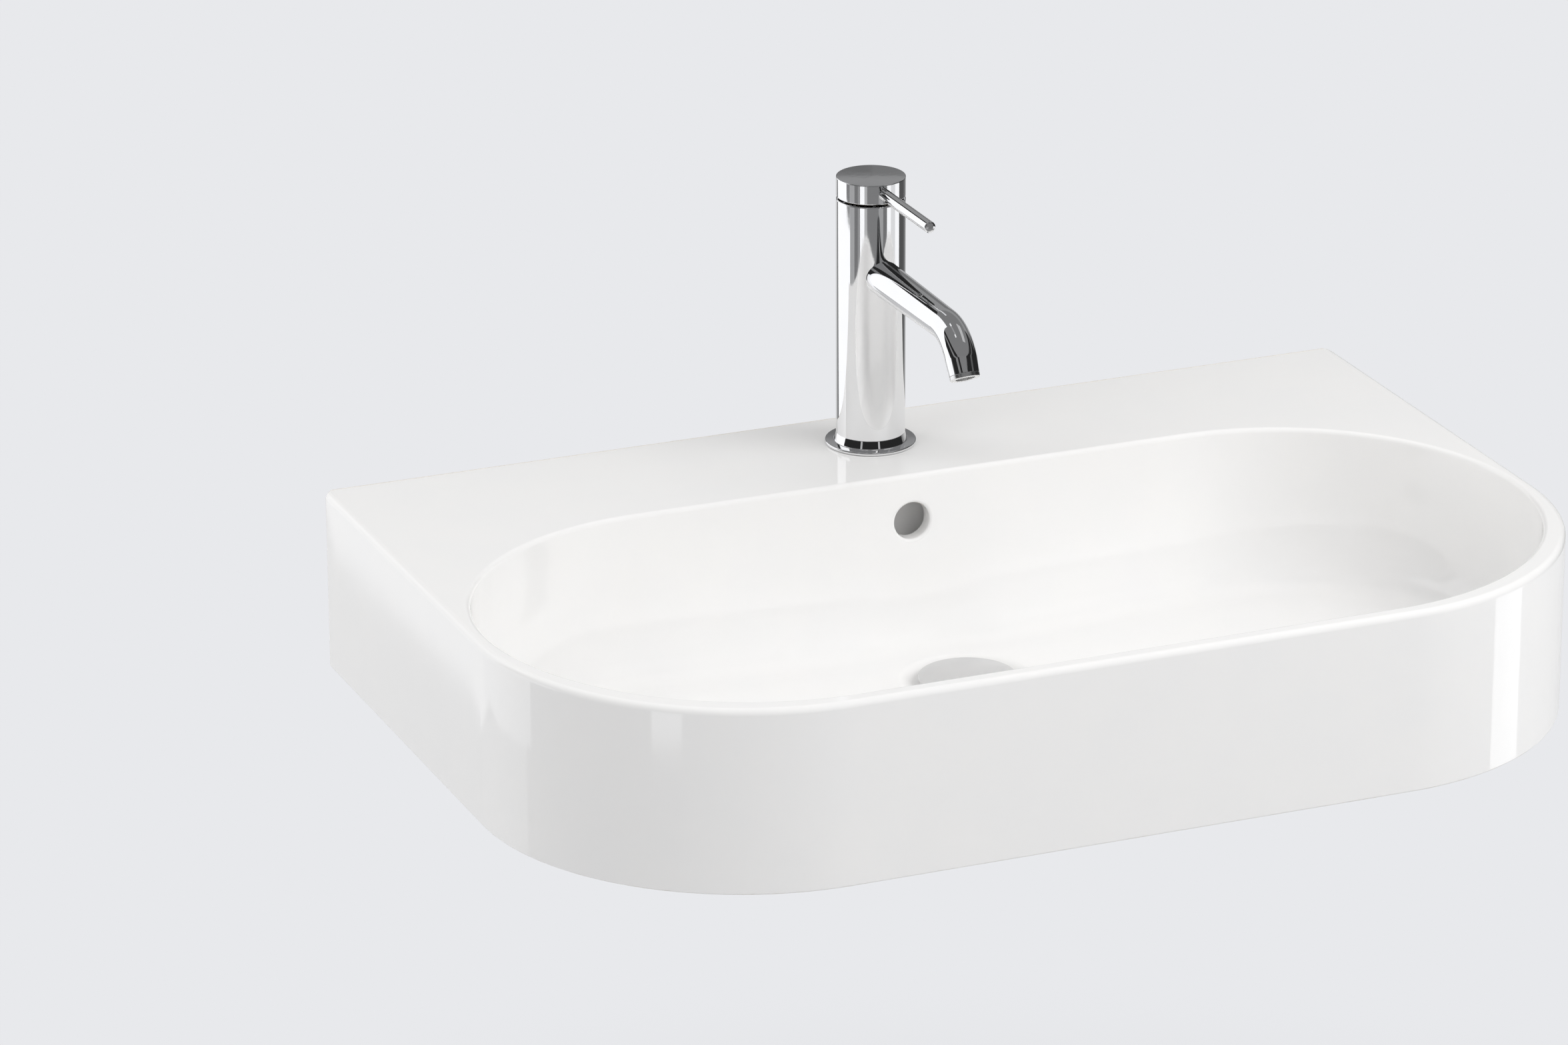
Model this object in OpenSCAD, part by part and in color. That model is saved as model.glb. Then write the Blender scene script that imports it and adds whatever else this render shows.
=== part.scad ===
// Wall-hung ceramic basin with a single lever tap and a push-open waste.
// The wall is the plane y = 0, the front of the basin is at -Y and up is +Z.
// The origin lies midway between the two wall fixing holes, on the rear face.

/* [Basin] */
// Overall width
basin_w = 700; // [660:10:900]
// Depth from the wall to the front
basin_d = 450; // [435:5:500]
// Height of the apron
apron_h = 116; // [116:1:140]
// Plan radius of the two front corners
front_corner_r = 168; // [150:1:180]
// Plan radius of the two rear corners
rear_corner_r = 6; // [2:1:10]
// Rounding of the upper outer edge
edge_r = 4; // [2:0.5:5]
// Thickness of the deck
deck_t = 12; // [10:0.5:16]
// Thickness of the apron
apron_t = 10; // [8:0.5:14]
// Thickness of the rear wall
back_t = 14; // [10:0.5:18]

/* [Bowl] */
// Rim between the bowl and each side
side_rim = 9; // [8:1:30]
// Rim between the bowl and the front
front_rim = 12; // [10:1:25]
// Depth of the flat deck behind the bowl
deck_d = 116; // [112:1:130]
// Plan radius of the bowl at its front corners
bowl_front_r = 168; // [150:1:180]
// Depth of the bowl at the edge of the waste dish
bowl_depth = 106; // [90:1:106]
// Rounding between the wall and the floor of the bowl
bowl_blend = 50; // [40:1:90]
// Squareness of that rounding, where 2 is an ellipse
bowl_square = 3; // [2:0.1:4]
// Rise of the floor towards the walls, as a share of the run
floor_rise = 0.04; // [0.02:0.005:0.06]
// Rounding of the bowl's lip
lip_r = 3; // [1.5:0.5:4]
// Thickness of the bowl
bowl_t = 9; // [7:0.5:9]

/* [Wall fixing] */
// Distance between the two wall fixing holes
fixing_spacing = 280; // [200:5:320]
// Diameter of the wall fixing holes
fixing_hole_d = 16; // [12:0.5:20]
// Drop of the fixing holes below the deck
fixing_drop = 56; // [50:1:70]
// Diameter of the pad around each hole
fixing_pad_d = 44; // [36:1:56]
// Thickness that each pad adds
fixing_pad_t = 6; // [3:0.5:10]

/* [Overflow] */
// Diameter of the overflow hole
overflow_d = 24; // [18:0.5:28]
// Drop of its centre below the deck
overflow_drop = 31; // [28:1:40]
// Width of the overflow passage
passage_w = 34; // [30:1:44]
// Thickness of the passage from front to back
passage_t = 13; // [10:0.5:15]
// Wall around the passage
passage_wall = 7; // [5:0.5:9]

/* [Waste seat] */
// Distance of the waste from the wall
waste_y = 203; // [200:1:230]
// Radius of the dish around the waste
dish_r = 44; // [40:1:50]
// Radius of the flat seat
seat_r = 33; // [32:0.5:37]
// Drop of the seat below the edge of the dish
seat_drop = 3.5; // [2.5:0.5:6]
// Diameter of the waste hole
waste_hole_d = 46; // [44:0.5:50]
// Radius of the boss under the waste
boss_r = 36; // [32:1:42]
// Height of the boss from its foot to the seat
boss_h = 45; // [40:1:55]

/* [Waste] */
// Outside diameter of the waste thread
waste_d = 41.9; // [40:0.1:42.5]
// Wall of the waste tube
waste_wall = 2.9; // [2:0.1:4]
// Length of the waste below its seat
waste_l = 80; // [78:1:110]
// Length of its tail, which the trap's nut takes
waste_tail_l = 16; // [10:0.5:17]
// Width of the relief groove above the tail
relief_w = 1.6; // [1:0.1:2]
// Depth of that groove
relief_deep = 0.8; // [0.4:0.1:1.2]
// Diameter of the waste flange
flange_d = 60; // [54:0.5:62]
// Thickness of the waste flange
flange_t = 2; // [1.5:0.1:3]
// Thickness of the seal under the flange
flange_seal_t = 1.2; // [0.8:0.1:2]
// Number of overflow slots in the waste
slot_count = 4; // [2:2:6]
// Width of each slot
slot_w = 10; // [6:0.5:12]
// Height of each slot
slot_h = 20; // [10:0.5:22]
// Depth of the top of the slots below the seat
slot_drop = 8; // [6:0.5:14]
// Depth of the cross bar below the seat
bar_drop = 31; // [29:0.5:36]
// Height and width of the cross bar
bar_size = 6; // [5:0.5:8]
// Thickness of the washer below the basin
washer_t = 5; // [3:0.5:8]
// Height of the backnut
backnut_h = 10; // [7:0.5:14]
// Width of the backnut over its corners
backnut_d = 60; // [56:1:66]

/* [Waste plug] */
// Diameter of the plug cap
plug_d = 62; // [60.5:0.5:64]
// Thickness of the cap at its edge
plug_edge_t = 2.2; // [1.5:0.1:3]
// Height of the dome over that edge
plug_crown = 1.9; // [1:0.1:4]
// Travel of the plug from closed to open
plug_travel = 9; // [6:0.5:10]
// Diameter of the fixed barrel
barrel_d = 13; // [12:0.1:15]
// Height of the fixed barrel
barrel_h = 19; // [17:0.5:21]
// Wall of the sleeve that slides on the barrel
sleeve_wall = 1.6; // [1.2:0.1:2.5]
// Radial play of the sleeve on the barrel
sleeve_play = 0.08; // [0.04:0.01:0.1]
// Wire of the spring
spring_wire = 1; // [0.8:0.1:1.2]
// Turns of the spring
spring_turns = 7; // [5:1:9]

/* [Tap body] */
// Distance of the tap from the wall
tap_y = 49; // [46:1:54]
// Diameter of the tap hole
tap_hole_d = 35; // [34.5:0.5:37]
// Diameter of the body
tap_d = 44; // [43.5:0.5:50]
// Height of the body's rim over the deck
tap_h = 162.7; // [158:0.1:175]
// Diameter of the base ring
ring_d = 58; // [54:0.5:64]
// Height of the base ring with its collar
ring_h = 7.6; // [5:0.1:12]
// Thickness of the base ring's flange
ring_flange_t = 2.3; // [2:0.1:3]
// Flare of the collar at its foot
collar_flare = 1.4; // [0.5:0.1:2]
// Spacing of the two water inlets
inlet_spacing = 16; // [15:0.5:18]
// Diameter of the inlet threads
inlet_d = 9.2; // [8.4:0.1:9.6]
// Depth of the inlet threads
inlet_l = 14; // [10:0.5:18]
// Height over the deck at which they start
inlet_z = 8.2; // [8:0.1:12]
// Room round each hose end below its thread
hose_gap = 0.9; // [0.6:0.1:1.2]

/* [Spout] */
// Height of the spout's axis over the deck
spout_z = 115.4; // [105:0.1:116]
// Straight run from the tap's axis to the bend
spout_run = 115; // [80:1:160]
// Diameter at the tap body
spout_root_d = 22.6; // [20.5:0.1:25]
// Diameter along the bend
spout_d = 20; // [19.5:0.1:20.4]
// Diameter at the outlet
spout_end_d = 19; // [18.6:0.1:20]
// Bore of the spout
spout_bore_d = 12; // [9:0.5:12.5]
// Radius of the bend on its centre line
bend_r = 30; // [24:1:60]
// Angle of the bend
bend_angle = 60; // [30:1:80]
// Straight length after the bend
spout_end_l = 9.6; // [9:0.1:30]
// Depth of the spigot in the body's wall
spigot_l = 3.4; // [2.5:0.1:3.8]
// Visible length of the aerator housing
aerator_rim = 3; // [2:0.1:5]
// Depth of the aerator housing in the spout
aerator_l = 7; // [5:0.1:8]

/* [Handle] */
// Gap between the body and the cap
cap_gap = 1.6; // [1.6:0.1:3]
// Height of the cap
cap_h = 12.7; // [12:0.1:20]
// Thickness of the cap's top
cap_top_t = 2.2; // [1.6:0.1:3]
// Thickness of the cap's skirt
cap_wall = 1.2; // [0.8:0.1:1.3]
// Diameter of the lever rod
rod_d = 7.5; // [5:0.1:8]
// Reach of the rod from the tap's axis
rod_reach = 93; // [60:1:120]
// Angle by which the handle tips back
lift_angle = 20; // [10:1:20]

/* [Cartridge] */
// Diameter of the cartridge
cartridge_d = 35; // [34.6:0.1:35.2]
// Height of its floor over the deck
cartridge_z = 122; // [122:0.1:123]
// Thickness of its base plate
cartridge_base_t = 6; // [4:0.5:6]
// Thickness of the fixed disc
fixed_disc_t = 3.5; // [2.5:0.1:3.5]
// Thickness of the moving disc
moving_disc_t = 5; // [4.8:0.1:5.5]
// Height of the pivot over the cartridge floor
pivot_rise = 21; // [20.8:0.1:21.5]
// Height of the housing over the cartridge floor
housing_h = 30; // [29.5:0.1:30.5]
// Diameter of the pivot pin
pivot_d = 3; // [2.5:0.1:3.4]
// Width of the square control lever
lever_w = 7; // [6:0.1:7.4]
// Height of the ring nut
nut_h = 6; // [4:0.5:6.5]
// Opening in the ring nut
nut_bore_d = 27; // [26.6:0.1:28]

/* [Tap fixing] */
// Diameter of the stud
stud_d = 8; // [6:0.5:8]
// Length of the stud below the deck
stud_l = 60; // [45:1:90]
// Offset of the stud behind the tap's axis
stud_offset = 10.5; // [10:0.1:11]
// Diameter of the horseshoe pad and bracket
horseshoe_d = 50; // [46:1:54]
// Thickness of the rubber pad
pad_t = 3; // [2:0.5:5]
// Thickness of the metal bracket
bracket_t = 2.5; // [2:0.5:4]
// Length of the fixing nut
fixing_nut_l = 18; // [8:1:25]

/* [Hidden] */
$fn = 64;

// How far a cut runs past the face it opens
over = 1;
// Radial play of a screwed or pressed piece in its hole
snug = 0.05;
// Radial play of a piece that turns or slides in a hole
running = 0.08;
// Gap between pieces that move past each other
clear = 0.3;

// Basin, measured from the top of the deck
deck_z = fixing_drop;
corner_x = basin_w / 2 - front_corner_r;
side_len = basin_d - front_corner_r;
bowl_rear_r = basin_d - front_rim - deck_d - bowl_front_r;
bowl_half_w = basin_w / 2 - side_rim;
bowl_mid_y = -(deck_d + bowl_rear_r);
seat_depth = bowl_depth + seat_drop;
arc_steps = 14;
straight_steps = 8;
blend_steps = 10;
floor_steps = 3;
lip_steps = 3;

// Overflow passage, with distances from the wall and depths below the deck
passage_front = deck_d - bowl_t;
passage_back = passage_front - passage_t;
passage_top = overflow_drop - overflow_d / 2 - 2;
passage_low = seat_depth + slot_drop + passage_t;
passage_end = waste_y - waste_hole_d / 3;

// Waste, measured from its seat
flange_top = flange_seal_t + flange_t;
waste_bore_d = waste_d - 2 * waste_wall;
hub_r = 7;
barrel_screw_r = 4;
barrel_foot = -bar_drop;
plug_seal_t = 0.6;
plug_rest = flange_top + clear / 2;
plug_under = plug_rest + plug_seal_t;
sleeve_r = barrel_d / 2 + sleeve_play;
sleeve_top_t = 2;
sleeve_foot = barrel_foot + 2;
spring_r = 3.3;
spring_bore_r = spring_r + spring_wire / 2 + clear;
spring_foot = barrel_foot + 4;
spring_top = plug_under - sleeve_top_t;
cap_screw_r = 3;

// Tap, measured from the deck on the tap's axis
tap_spigot_r = tap_hole_d / 2 - 0.7;
tap_spigot_l = 6;
stud_thread_l = 12;
body_edge = 0.5;
seal_inner_r = ring_d / 2 - 5.5;
cartridge_r = cartridge_d / 2;
nut_r = cartridge_r + 1.5;
disc_z = cartridge_z + cartridge_base_t;
moving_z = disc_z + fixed_disc_t;
pivot_z = cartridge_z + pivot_rise;
housing_top = cartridge_z + housing_h;
carrier_r = 13.4;
collar_r = 11.4;
collar_z = housing_top - 3;
carrier_foot = moving_z + moving_disc_t + clear;
ball_r = 2.2;
ball_z = pivot_z - 7.5;
port_r = 3;
port_pitch_r = 8;
inlet_y = -4;
inlet_way_r = inlet_d / 2 - 0.35;
outlet_y = -8;
outlet_r = 4.5;
disc_flat = 9.8;

// Handle, measured from the deck on the tap's axis
cap_z = tap_h + cap_gap;
cap_top = cap_z + cap_h;
rod_z = cap_z + cap_h / 2;
cap_hub_r = 7.5;
cap_hub_foot = cap_z - 4.3;
lever_top = cap_z + 3;
rod_root = 7.2;
rod_screw_r = 2.5;
grub_r = 2;
grub_z = cap_z + 0.6 - 2.2;

// Spout and aerator
spout_spigot_r = spout_bore_d / 2 + 2.4;
bend_z = spout_z - bend_r;
inlet_way_top = spout_z - spout_spigot_r - 3;
aerator_thread_r = 8;
aerator_bore_r = 7;
seal_t = 1;

// Points of the bowl's plan, moved outwards by o
function arc_points(cx, cy, r, a0, steps) =
    [for (i = [0:steps - 1]) let (a = a0 + 90 * i / steps) [cx + r * cos(a), cy + r * sin(a)]];
function line_points(p, q, steps) = [for (i = [0:steps - 1]) p + (q - p) * i / steps];
function bowl_plan(o) =
    let (
        fx = bowl_half_w - bowl_front_r,
        rx = bowl_half_w - bowl_rear_r,
        rf = bowl_front_r + o,
        rr = bowl_rear_r + o
    )
    concat(
        arc_points(fx, bowl_mid_y, rf, -90, arc_steps),
        arc_points(rx, bowl_mid_y, rr, 0, arc_steps),
        line_points([rx, bowl_mid_y + rr], [-rx, bowl_mid_y + rr], straight_steps),
        arc_points(-rx, bowl_mid_y, rr, 90, arc_steps),
        arc_points(-fx, bowl_mid_y, rf, 180, arc_steps),
        line_points([-fx, bowl_mid_y - rf], [fx, bowl_mid_y - rf], straight_steps)
    );

// Outward normals at the same points
function bowl_normals() = bowl_plan(1) - bowl_plan(0);

// Distance from a point to the edge of the dish, and the direction from the waste to it
function to_dish(p) = norm(p + [0, waste_y]) - dish_r;
function from_waste(p) = (p + [0, waste_y]) / norm(p + [0, waste_y]);

// The rounding runs square to the wall, and is shortened where the waste is near
function blend_run(p, t) = min(bowl_blend, 0.95 * to_dish(p)) + t;
function floor_at(p, t) = bowl_depth + t - floor_rise * to_dish(p);

// Rings of the bowl's surface: the lip, the wall with its blend, the floor and the dish
function level_ring(o, z) = [for (p = bowl_plan(o)) [p[0], p[1], z]];
function blend_ring(t, a) =
    let (plan = bowl_plan(0), out = bowl_normals())
    [
        for (i = [0:len(plan) - 1])
            let (q = plan[i] + out[i] * (t - blend_run(plan[i], t) * (1 - pow(cos(a), 2 / bowl_square))))
            [q[0], q[1], -floor_at(q, t) * pow(sin(a), 2 / bowl_square)]
    ];
function floor_ring(t, k) = [
    for (e = blend_ring(t, 90))
        let (p = [e[0], e[1]], q = p - from_waste(p) * to_dish(p) * k)
        [q[0], q[1], -floor_at(q, t)]
];
function dish_ring(k) = [
    for (e = blend_ring(0, 90))
        let (q = from_waste([e[0], e[1]]) * (dish_r - (dish_r - seat_r) * k))
        [q[0], q[1] - waste_y, -bowl_depth - seat_drop * (1 - cos(180 * k)) / 2]
];

function lip_rings() = [
    for (i = [0:lip_steps])
        let (a = 90 * i / lip_steps)
        level_ring(lip_r * (1 - sin(a)), -lip_r * (1 - cos(a)))
];
function wall_rings(t) = [for (i = [1:blend_steps]) blend_ring(t, 90 * i / blend_steps)];
function floor_rings(t) = [for (i = [1:floor_steps]) floor_ring(t, i / floor_steps)];
function dish_rings() = [for (i = [1:floor_steps]) dish_ring(i / floor_steps)];

// A closed solid through rings of equal count, from the top ring to the bottom one
module loft(rings) {
    n = len(rings[0]);
    last = len(rings) - 1;
    top_mid = n * (last + 1);
    points = concat(
        [for (ring = rings, p = ring) p],
        [[0, -waste_y, rings[0][0][2]], [0, -waste_y, rings[last][0][2]]]
    );
    sides = [
        for (k = [0:last - 1], i = [0:n - 1])
            let (j = (i + 1) % n, a = k * n, b = a + n)
            each [[a + i, a + j, b + j], [a + i, b + j, b + i]]
    ];
    lids = [
        for (i = [0:n - 1])
            let (j = (i + 1) % n, b = last * n)
            each [[top_mid, j, i], [top_mid + 1, b + i, b + j]]
    ];
    polyhedron(points = points, faces = concat(sides, lids));
}

// Hollow of the bowl
module bowl_cavity() {
    loft(concat(
        [level_ring(lip_r, over)], lip_rings(), wall_rings(0), floor_rings(0), dish_rings()
    ));
}

// Bowl with the thickness of its wall
module bowl_skin() {
    loft(concat([level_ring(bowl_t, 0)], wall_rings(bowl_t), floor_rings(bowl_t)));
}

// Plan of the basin, drawn in by a margin at the front and sides and by another at the wall
module basin_plan(margin, rear_margin) {
    translate([-corner_x, margin - basin_d]) square([2 * corner_x, basin_d - margin - rear_margin]);
    translate([margin - basin_w / 2, -side_len]) square([basin_w - 2 * margin, side_len - rear_margin]);
    for (side = [-1, 1])
        translate([side * corner_x, -side_len]) circle(r = front_corner_r - margin);
}

// Section through the apron, with its rounded upper edge
module apron_section() {
    square([front_corner_r, apron_h - edge_r]);
    square([front_corner_r - edge_r, apron_h]);
    translate([front_corner_r - edge_r, apron_h - edge_r]) circle(r = edge_r);
}

module rear_corner_cut() {
    translate([basin_w / 2 - rear_corner_r, -rear_corner_r, -apron_h - over]) difference() {
        cube([rear_corner_r + over, rear_corner_r + over, apron_h + 2 * over]);
        cylinder(r = rear_corner_r, h = apron_h + 2 * over);
    }
}

// Outer form of the basin, with its top at the deck
module outer_block() {
    difference() {
        translate([0, 0, -apron_h]) {
            translate([-corner_x, -side_len, 0]) cube([2 * corner_x, side_len, apron_h]);
            translate([corner_x, -side_len, 0]) rotate([90, 0, -90])
                linear_extrude(2 * corner_x) apron_section();
            for (side = [0, 1]) mirror([side, 0, 0]) {
                translate([corner_x, 0, 0]) rotate([90, 0, 0]) linear_extrude(side_len) apron_section();
                translate([corner_x, -side_len, 0]) rotate([0, 0, -90])
                    rotate_extrude(angle = 90) apron_section();
            }
        }
        rear_corner_cut();
        mirror([1, 0, 0]) rear_corner_cut();
    }
}

// Walls of the basin, open from below
module ceramic_shell() {
    difference() {
        outer_block();
        difference() {
            translate([0, 0, -apron_h - over])
                linear_extrude(apron_h + over - deck_t) basin_plan(apron_t, back_t);
            bowl_skin();
        }
    }
}

module waste_boss() {
    translate([0, -waste_y, -seat_depth - boss_h]) cylinder(r = boss_r, h = boss_h + bowl_t / 2);
}

// A shape drawn with distances from the wall and depths below the deck, w wide
module side_profile(w, points) {
    translate([-w / 2, 0, 0]) rotate([90, 0, 90])
        linear_extrude(w) polygon([for (p = points) [-p[0], -p[1]]]);
}

module overflow_wall() {
    back = passage_back - passage_wall;
    low = passage_low + passage_wall;
    side_profile(passage_w + 2 * passage_wall, [
        [back, deck_t / 2], [back, low - 2 * passage_wall], [back + 2 * passage_wall, low],
        [passage_end, low], [passage_end, bowl_depth], [deck_d, bowl_depth / 2], [deck_d, deck_t / 2]
    ]);
}

module overflow_passage() {
    side_profile(passage_w, [
        [passage_back, passage_top], [passage_back, passage_low], [passage_end, passage_low],
        [passage_end, passage_low - passage_t], [passage_front, passage_low - passage_t],
        [passage_front, passage_top]
    ]);
    translate([0, -passage_back - passage_t / 2, -overflow_drop]) rotate([90, 0, 0])
        cylinder(d = overflow_d, h = passage_t + bowl_t + 2 * lip_r);
}

module fixing_pads() {
    for (side = [-1, 1])
        translate([side * fixing_spacing / 2, -back_t / 2, -fixing_drop]) rotate([90, 0, 0])
            cylinder(d = fixing_pad_d, h = back_t / 2 + fixing_pad_t);
}

module fixing_holes() {
    for (side = [-1, 1])
        translate([side * fixing_spacing / 2, over, -fixing_drop]) rotate([90, 0, 0])
            cylinder(d = fixing_hole_d, h = back_t + fixing_pad_t + 2 * over);
}

module waste_hole() {
    translate([0, -waste_y, -seat_depth - boss_h - over]) cylinder(d = waste_hole_d, h = boss_h + 2 * over);
}

module tap_hole() {
    translate([0, -tap_y, -deck_t - over]) cylinder(d = tap_hole_d, h = deck_t + 2 * over);
}

// Ceramic body of the basin
module basin() {
    color("white") translate([0, 0, deck_z]) difference() {
        union() {
            ceramic_shell();
            waste_boss();
            overflow_wall();
            fixing_pads();
        }
        bowl_cavity();
        overflow_passage();
        waste_hole();
        tap_hole();
        fixing_holes();
    }
}

module at_tap(z = 0) {
    translate([0, -tap_y, deck_z + z]) children();
}

module at_waste(z = 0) {
    translate([0, -waste_y, deck_z - seat_depth + z]) children();
}

// A ring or tube
module tube(outer_r, inner_r, h) {
    difference() {
        cylinder(r = outer_r, h = h);
        translate([0, 0, -over]) cylinder(r = inner_r, h = h + 2 * over);
    }
}

// Both inlet positions and the outlet position under the cartridge
module at_inlets() {
    for (side = [-1, 1]) translate([side * inlet_spacing / 2, inlet_y, 0]) children();
}
module at_outlet() {
    translate([0, outlet_y, 0]) children();
}

// Upright body with the seat of the cartridge, its water ways and the thread of the stud
module tap_body() {
    color("silver") at_tap() difference() {
        union() {
            translate([0, 0, ring_h]) cylinder(d = tap_d, h = tap_h - ring_h - body_edge);
            translate([0, 0, tap_h - body_edge])
                cylinder(d1 = tap_d, d2 = tap_d - 2 * body_edge, h = body_edge);
            translate([0, 0, -tap_spigot_l]) cylinder(r = tap_spigot_r, h = tap_spigot_l + ring_h);
        }
        translate([0, 0, cartridge_z]) cylinder(r = cartridge_r + snug, h = tap_h);
        translate([0, 0, housing_top]) cylinder(r = nut_r + snug, h = tap_h);
        at_inlets() {
            translate([0, 0, inlet_z]) cylinder(r = port_r, h = cartridge_z);
            translate([0, 0, inlet_z]) cylinder(r = inlet_way_r, h = inlet_way_top - inlet_z);
            translate([0, 0, inlet_z]) cylinder(d = inlet_d, h = inlet_l);
            translate([0, 0, -tap_spigot_l - over])
                cylinder(r = inlet_d / 2 + hose_gap, h = tap_spigot_l + inlet_z + over);
        }
        at_outlet() translate([0, 0, spout_z]) cylinder(r = outlet_r, h = cartridge_z);
        translate([0, 0, spout_z]) rotate([90, 0, 0]) {
            cylinder(r = spout_bore_d / 2 - 0.8, h = tap_d);
            translate([0, 0, tap_d / 2 - spigot_l]) cylinder(r = spout_spigot_r + snug, h = spigot_l + over);
        }
        translate([0, stud_offset, -tap_spigot_l - over])
            cylinder(r = stud_d / 2 + snug, h = tap_spigot_l + stud_thread_l + over);
    }
}

// Ring under the tap body: a flange, a flared collar and a groove for the seal
module base_ring() {
    inner = tap_spigot_r + 0.2;
    outer = ring_d / 2;
    edge = 0.5;
    low = ring_flange_t - clear;
    color("silver") at_tap(clear) rotate_extrude() difference() {
        union() {
            translate([inner, 0]) square([outer - inner - edge, low]);
            translate([inner, edge]) square([outer - inner, low - 2 * edge]);
            for (z = [edge, low - edge]) translate([outer - edge, z]) circle(r = edge);
            polygon([
                [inner, 0], [tap_d / 2 + collar_flare, 0], [tap_d / 2 + collar_flare, low],
                [tap_d / 2 - 0.3, ring_h - clear], [inner, ring_h - clear]
            ]);
        }
        translate([seal_inner_r, -over]) square([3, over + 1.2]);
    }
}

module base_seal() {
    color("dimgray") at_tap() rotate_extrude()
        translate([seal_inner_r + snug, 0]) square([3 - 2 * snug, clear + 1.1]);
}

// Straight, bent and straight again, with r0 at the tap, r1 in the bend and r2 at the outlet
module spout_form(r0, r1, r2, end_l) {
    rotate([90, 0, 0]) cylinder(r1 = r0, r2 = r1, h = spout_run);
    translate([0, -spout_run, -bend_r]) rotate([180, -90, 0])
        rotate_extrude(angle = bend_angle) translate([bend_r, 0]) circle(r = r1);
    at_spout_end() translate([0, 0, -0.5]) cylinder(r1 = r1 - 0.02, r2 = r2, h = end_l + 0.5);
}

// The end of the bend, with +Z along the outlet
module at_spout_end() {
    translate([0, -spout_run - bend_r * sin(bend_angle), bend_r * cos(bend_angle) - bend_r])
        rotate([90 + bend_angle, 0, 0]) children();
}

module spout() {
    color("silver") at_tap(spout_z) difference() {
        union() {
            difference() {
                spout_form(spout_root_d / 2, spout_d / 2, spout_end_d / 2, spout_end_l);
                translate([0, 0, -spout_root_d]) cylinder(d = tap_d, h = 2 * spout_root_d);
            }
            translate([0, -tap_d / 2 + spigot_l, 0]) rotate([90, 0, 0])
                cylinder(r = spout_spigot_r, h = spigot_l + 2);
        }
        spout_form(spout_bore_d / 2, spout_bore_d / 2, spout_bore_d / 2, spout_end_l);
        at_spout_end() translate([0, 0, spout_end_l - aerator_l - seal_t])
            cylinder(r = aerator_thread_r + snug, h = aerator_l + seal_t + over);
    }
}

// Screwed outlet piece of the spout
module aerator_housing() {
    color("gainsboro") at_tap(spout_z) at_spout_end() difference() {
        union() {
            translate([0, 0, spout_end_l - aerator_l]) cylinder(r = aerator_thread_r, h = aerator_l);
            translate([0, 0, spout_end_l]) cylinder(d = spout_end_d, h = aerator_rim - 0.4);
            translate([0, 0, spout_end_l + aerator_rim - 0.4])
                cylinder(d1 = spout_end_d, d2 = spout_end_d - 0.8, h = 0.4);
        }
        translate([0, 0, spout_end_l - aerator_l - over]) cylinder(r = aerator_bore_r, h = aerator_l + over);
        translate([0, 0, spout_end_l - over]) cylinder(r = aerator_bore_r - 0.8, h = aerator_rim + 2 * over);
    }
}

// Perforated insert, one hole in the middle and two rings of holes
module aerator_insert() {
    hole_r = 0.8;
    color("whitesmoke") at_tap(spout_z) at_spout_end()
        translate([0, 0, spout_end_l - aerator_l]) difference() {
            cylinder(r = aerator_bore_r - snug, h = aerator_l - over);
            translate([0, 0, -over]) cylinder(r = aerator_bore_r - 1.2, h = aerator_l - 2);
            cylinder(r = hole_r, h = aerator_l + over);
            for (ring = [1, 2], i = [0:6 * ring - 1])
                rotate([0, 0, 60 * i / ring]) translate([2.3 * ring, 0, 0])
                    cylinder(r = hole_r, h = aerator_l + over);
        }
}

module aerator_seal() {
    color("dimgray") at_tap(spout_z) at_spout_end()
        translate([0, 0, spout_end_l - aerator_l - seal_t]) tube(aerator_thread_r, aerator_bore_r - 0.4, seal_t);
}

module port_cuts(z, h) {
    translate([0, 0, z]) {
        at_inlets() cylinder(r = port_r, h = h);
        at_outlet() cylinder(r = port_r, h = h);
    }
}

// Bottom plate of the cartridge, with a groove round each port
module cartridge_base() {
    color("whitesmoke") at_tap(cartridge_z) difference() {
        cylinder(r = cartridge_r, h = cartridge_base_t);
        port_cuts(-over, cartridge_base_t + 2 * over);
        translate([0, 0, -over]) {
            at_inlets() cylinder(r = port_r + 1, h = over + 1);
            at_outlet() cylinder(r = port_r + 1, h = over + 1);
        }
    }
}

module port_seals() {
    color("dimgray") at_tap(cartridge_z) {
        at_inlets() tube(port_r + 1 - snug, port_r, 1);
        at_outlet() tube(port_r + 1 - snug, port_r, 1);
    }
}

module fixed_disc() {
    color("ivory") at_tap(disc_z) difference() {
        cylinder(r = carrier_r, h = fixed_disc_t);
        port_cuts(-over, fixed_disc_t + 2 * over);
    }
}

// Moving disc, flat at its sides, with a chamber below and the socket of the lever above
module moving_disc() {
    color("ivory") at_tap(moving_z + snug) difference() {
        intersection() {
            cylinder(r = carrier_r - 2.8, h = moving_disc_t);
            translate([-disc_flat, -carrier_r, 0]) cube([2 * disc_flat, 2 * carrier_r, moving_disc_t]);
        }
        translate([-4.5, -7.5, -over]) cube([9, 12, over + 1]);
        translate([0, 0, moving_disc_t - ball_sink()]) cylinder(r = ball_r + clear / 2, h = ball_sink() + over);
    }
}

function ball_sink() = moving_z + moving_disc_t - ball_z + ball_r + 0.1;

// Housing of the cartridge, with a lip that holds the carrier down
module cartridge_housing() {
    color("whitesmoke") at_tap(disc_z) difference() {
        cylinder(r = cartridge_r, h = housing_top - disc_z);
        translate([0, 0, -over]) cylinder(r = carrier_r + running, h = collar_z - disc_z + over);
        cylinder(r = collar_r + running, h = housing_top);
    }
}

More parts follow.
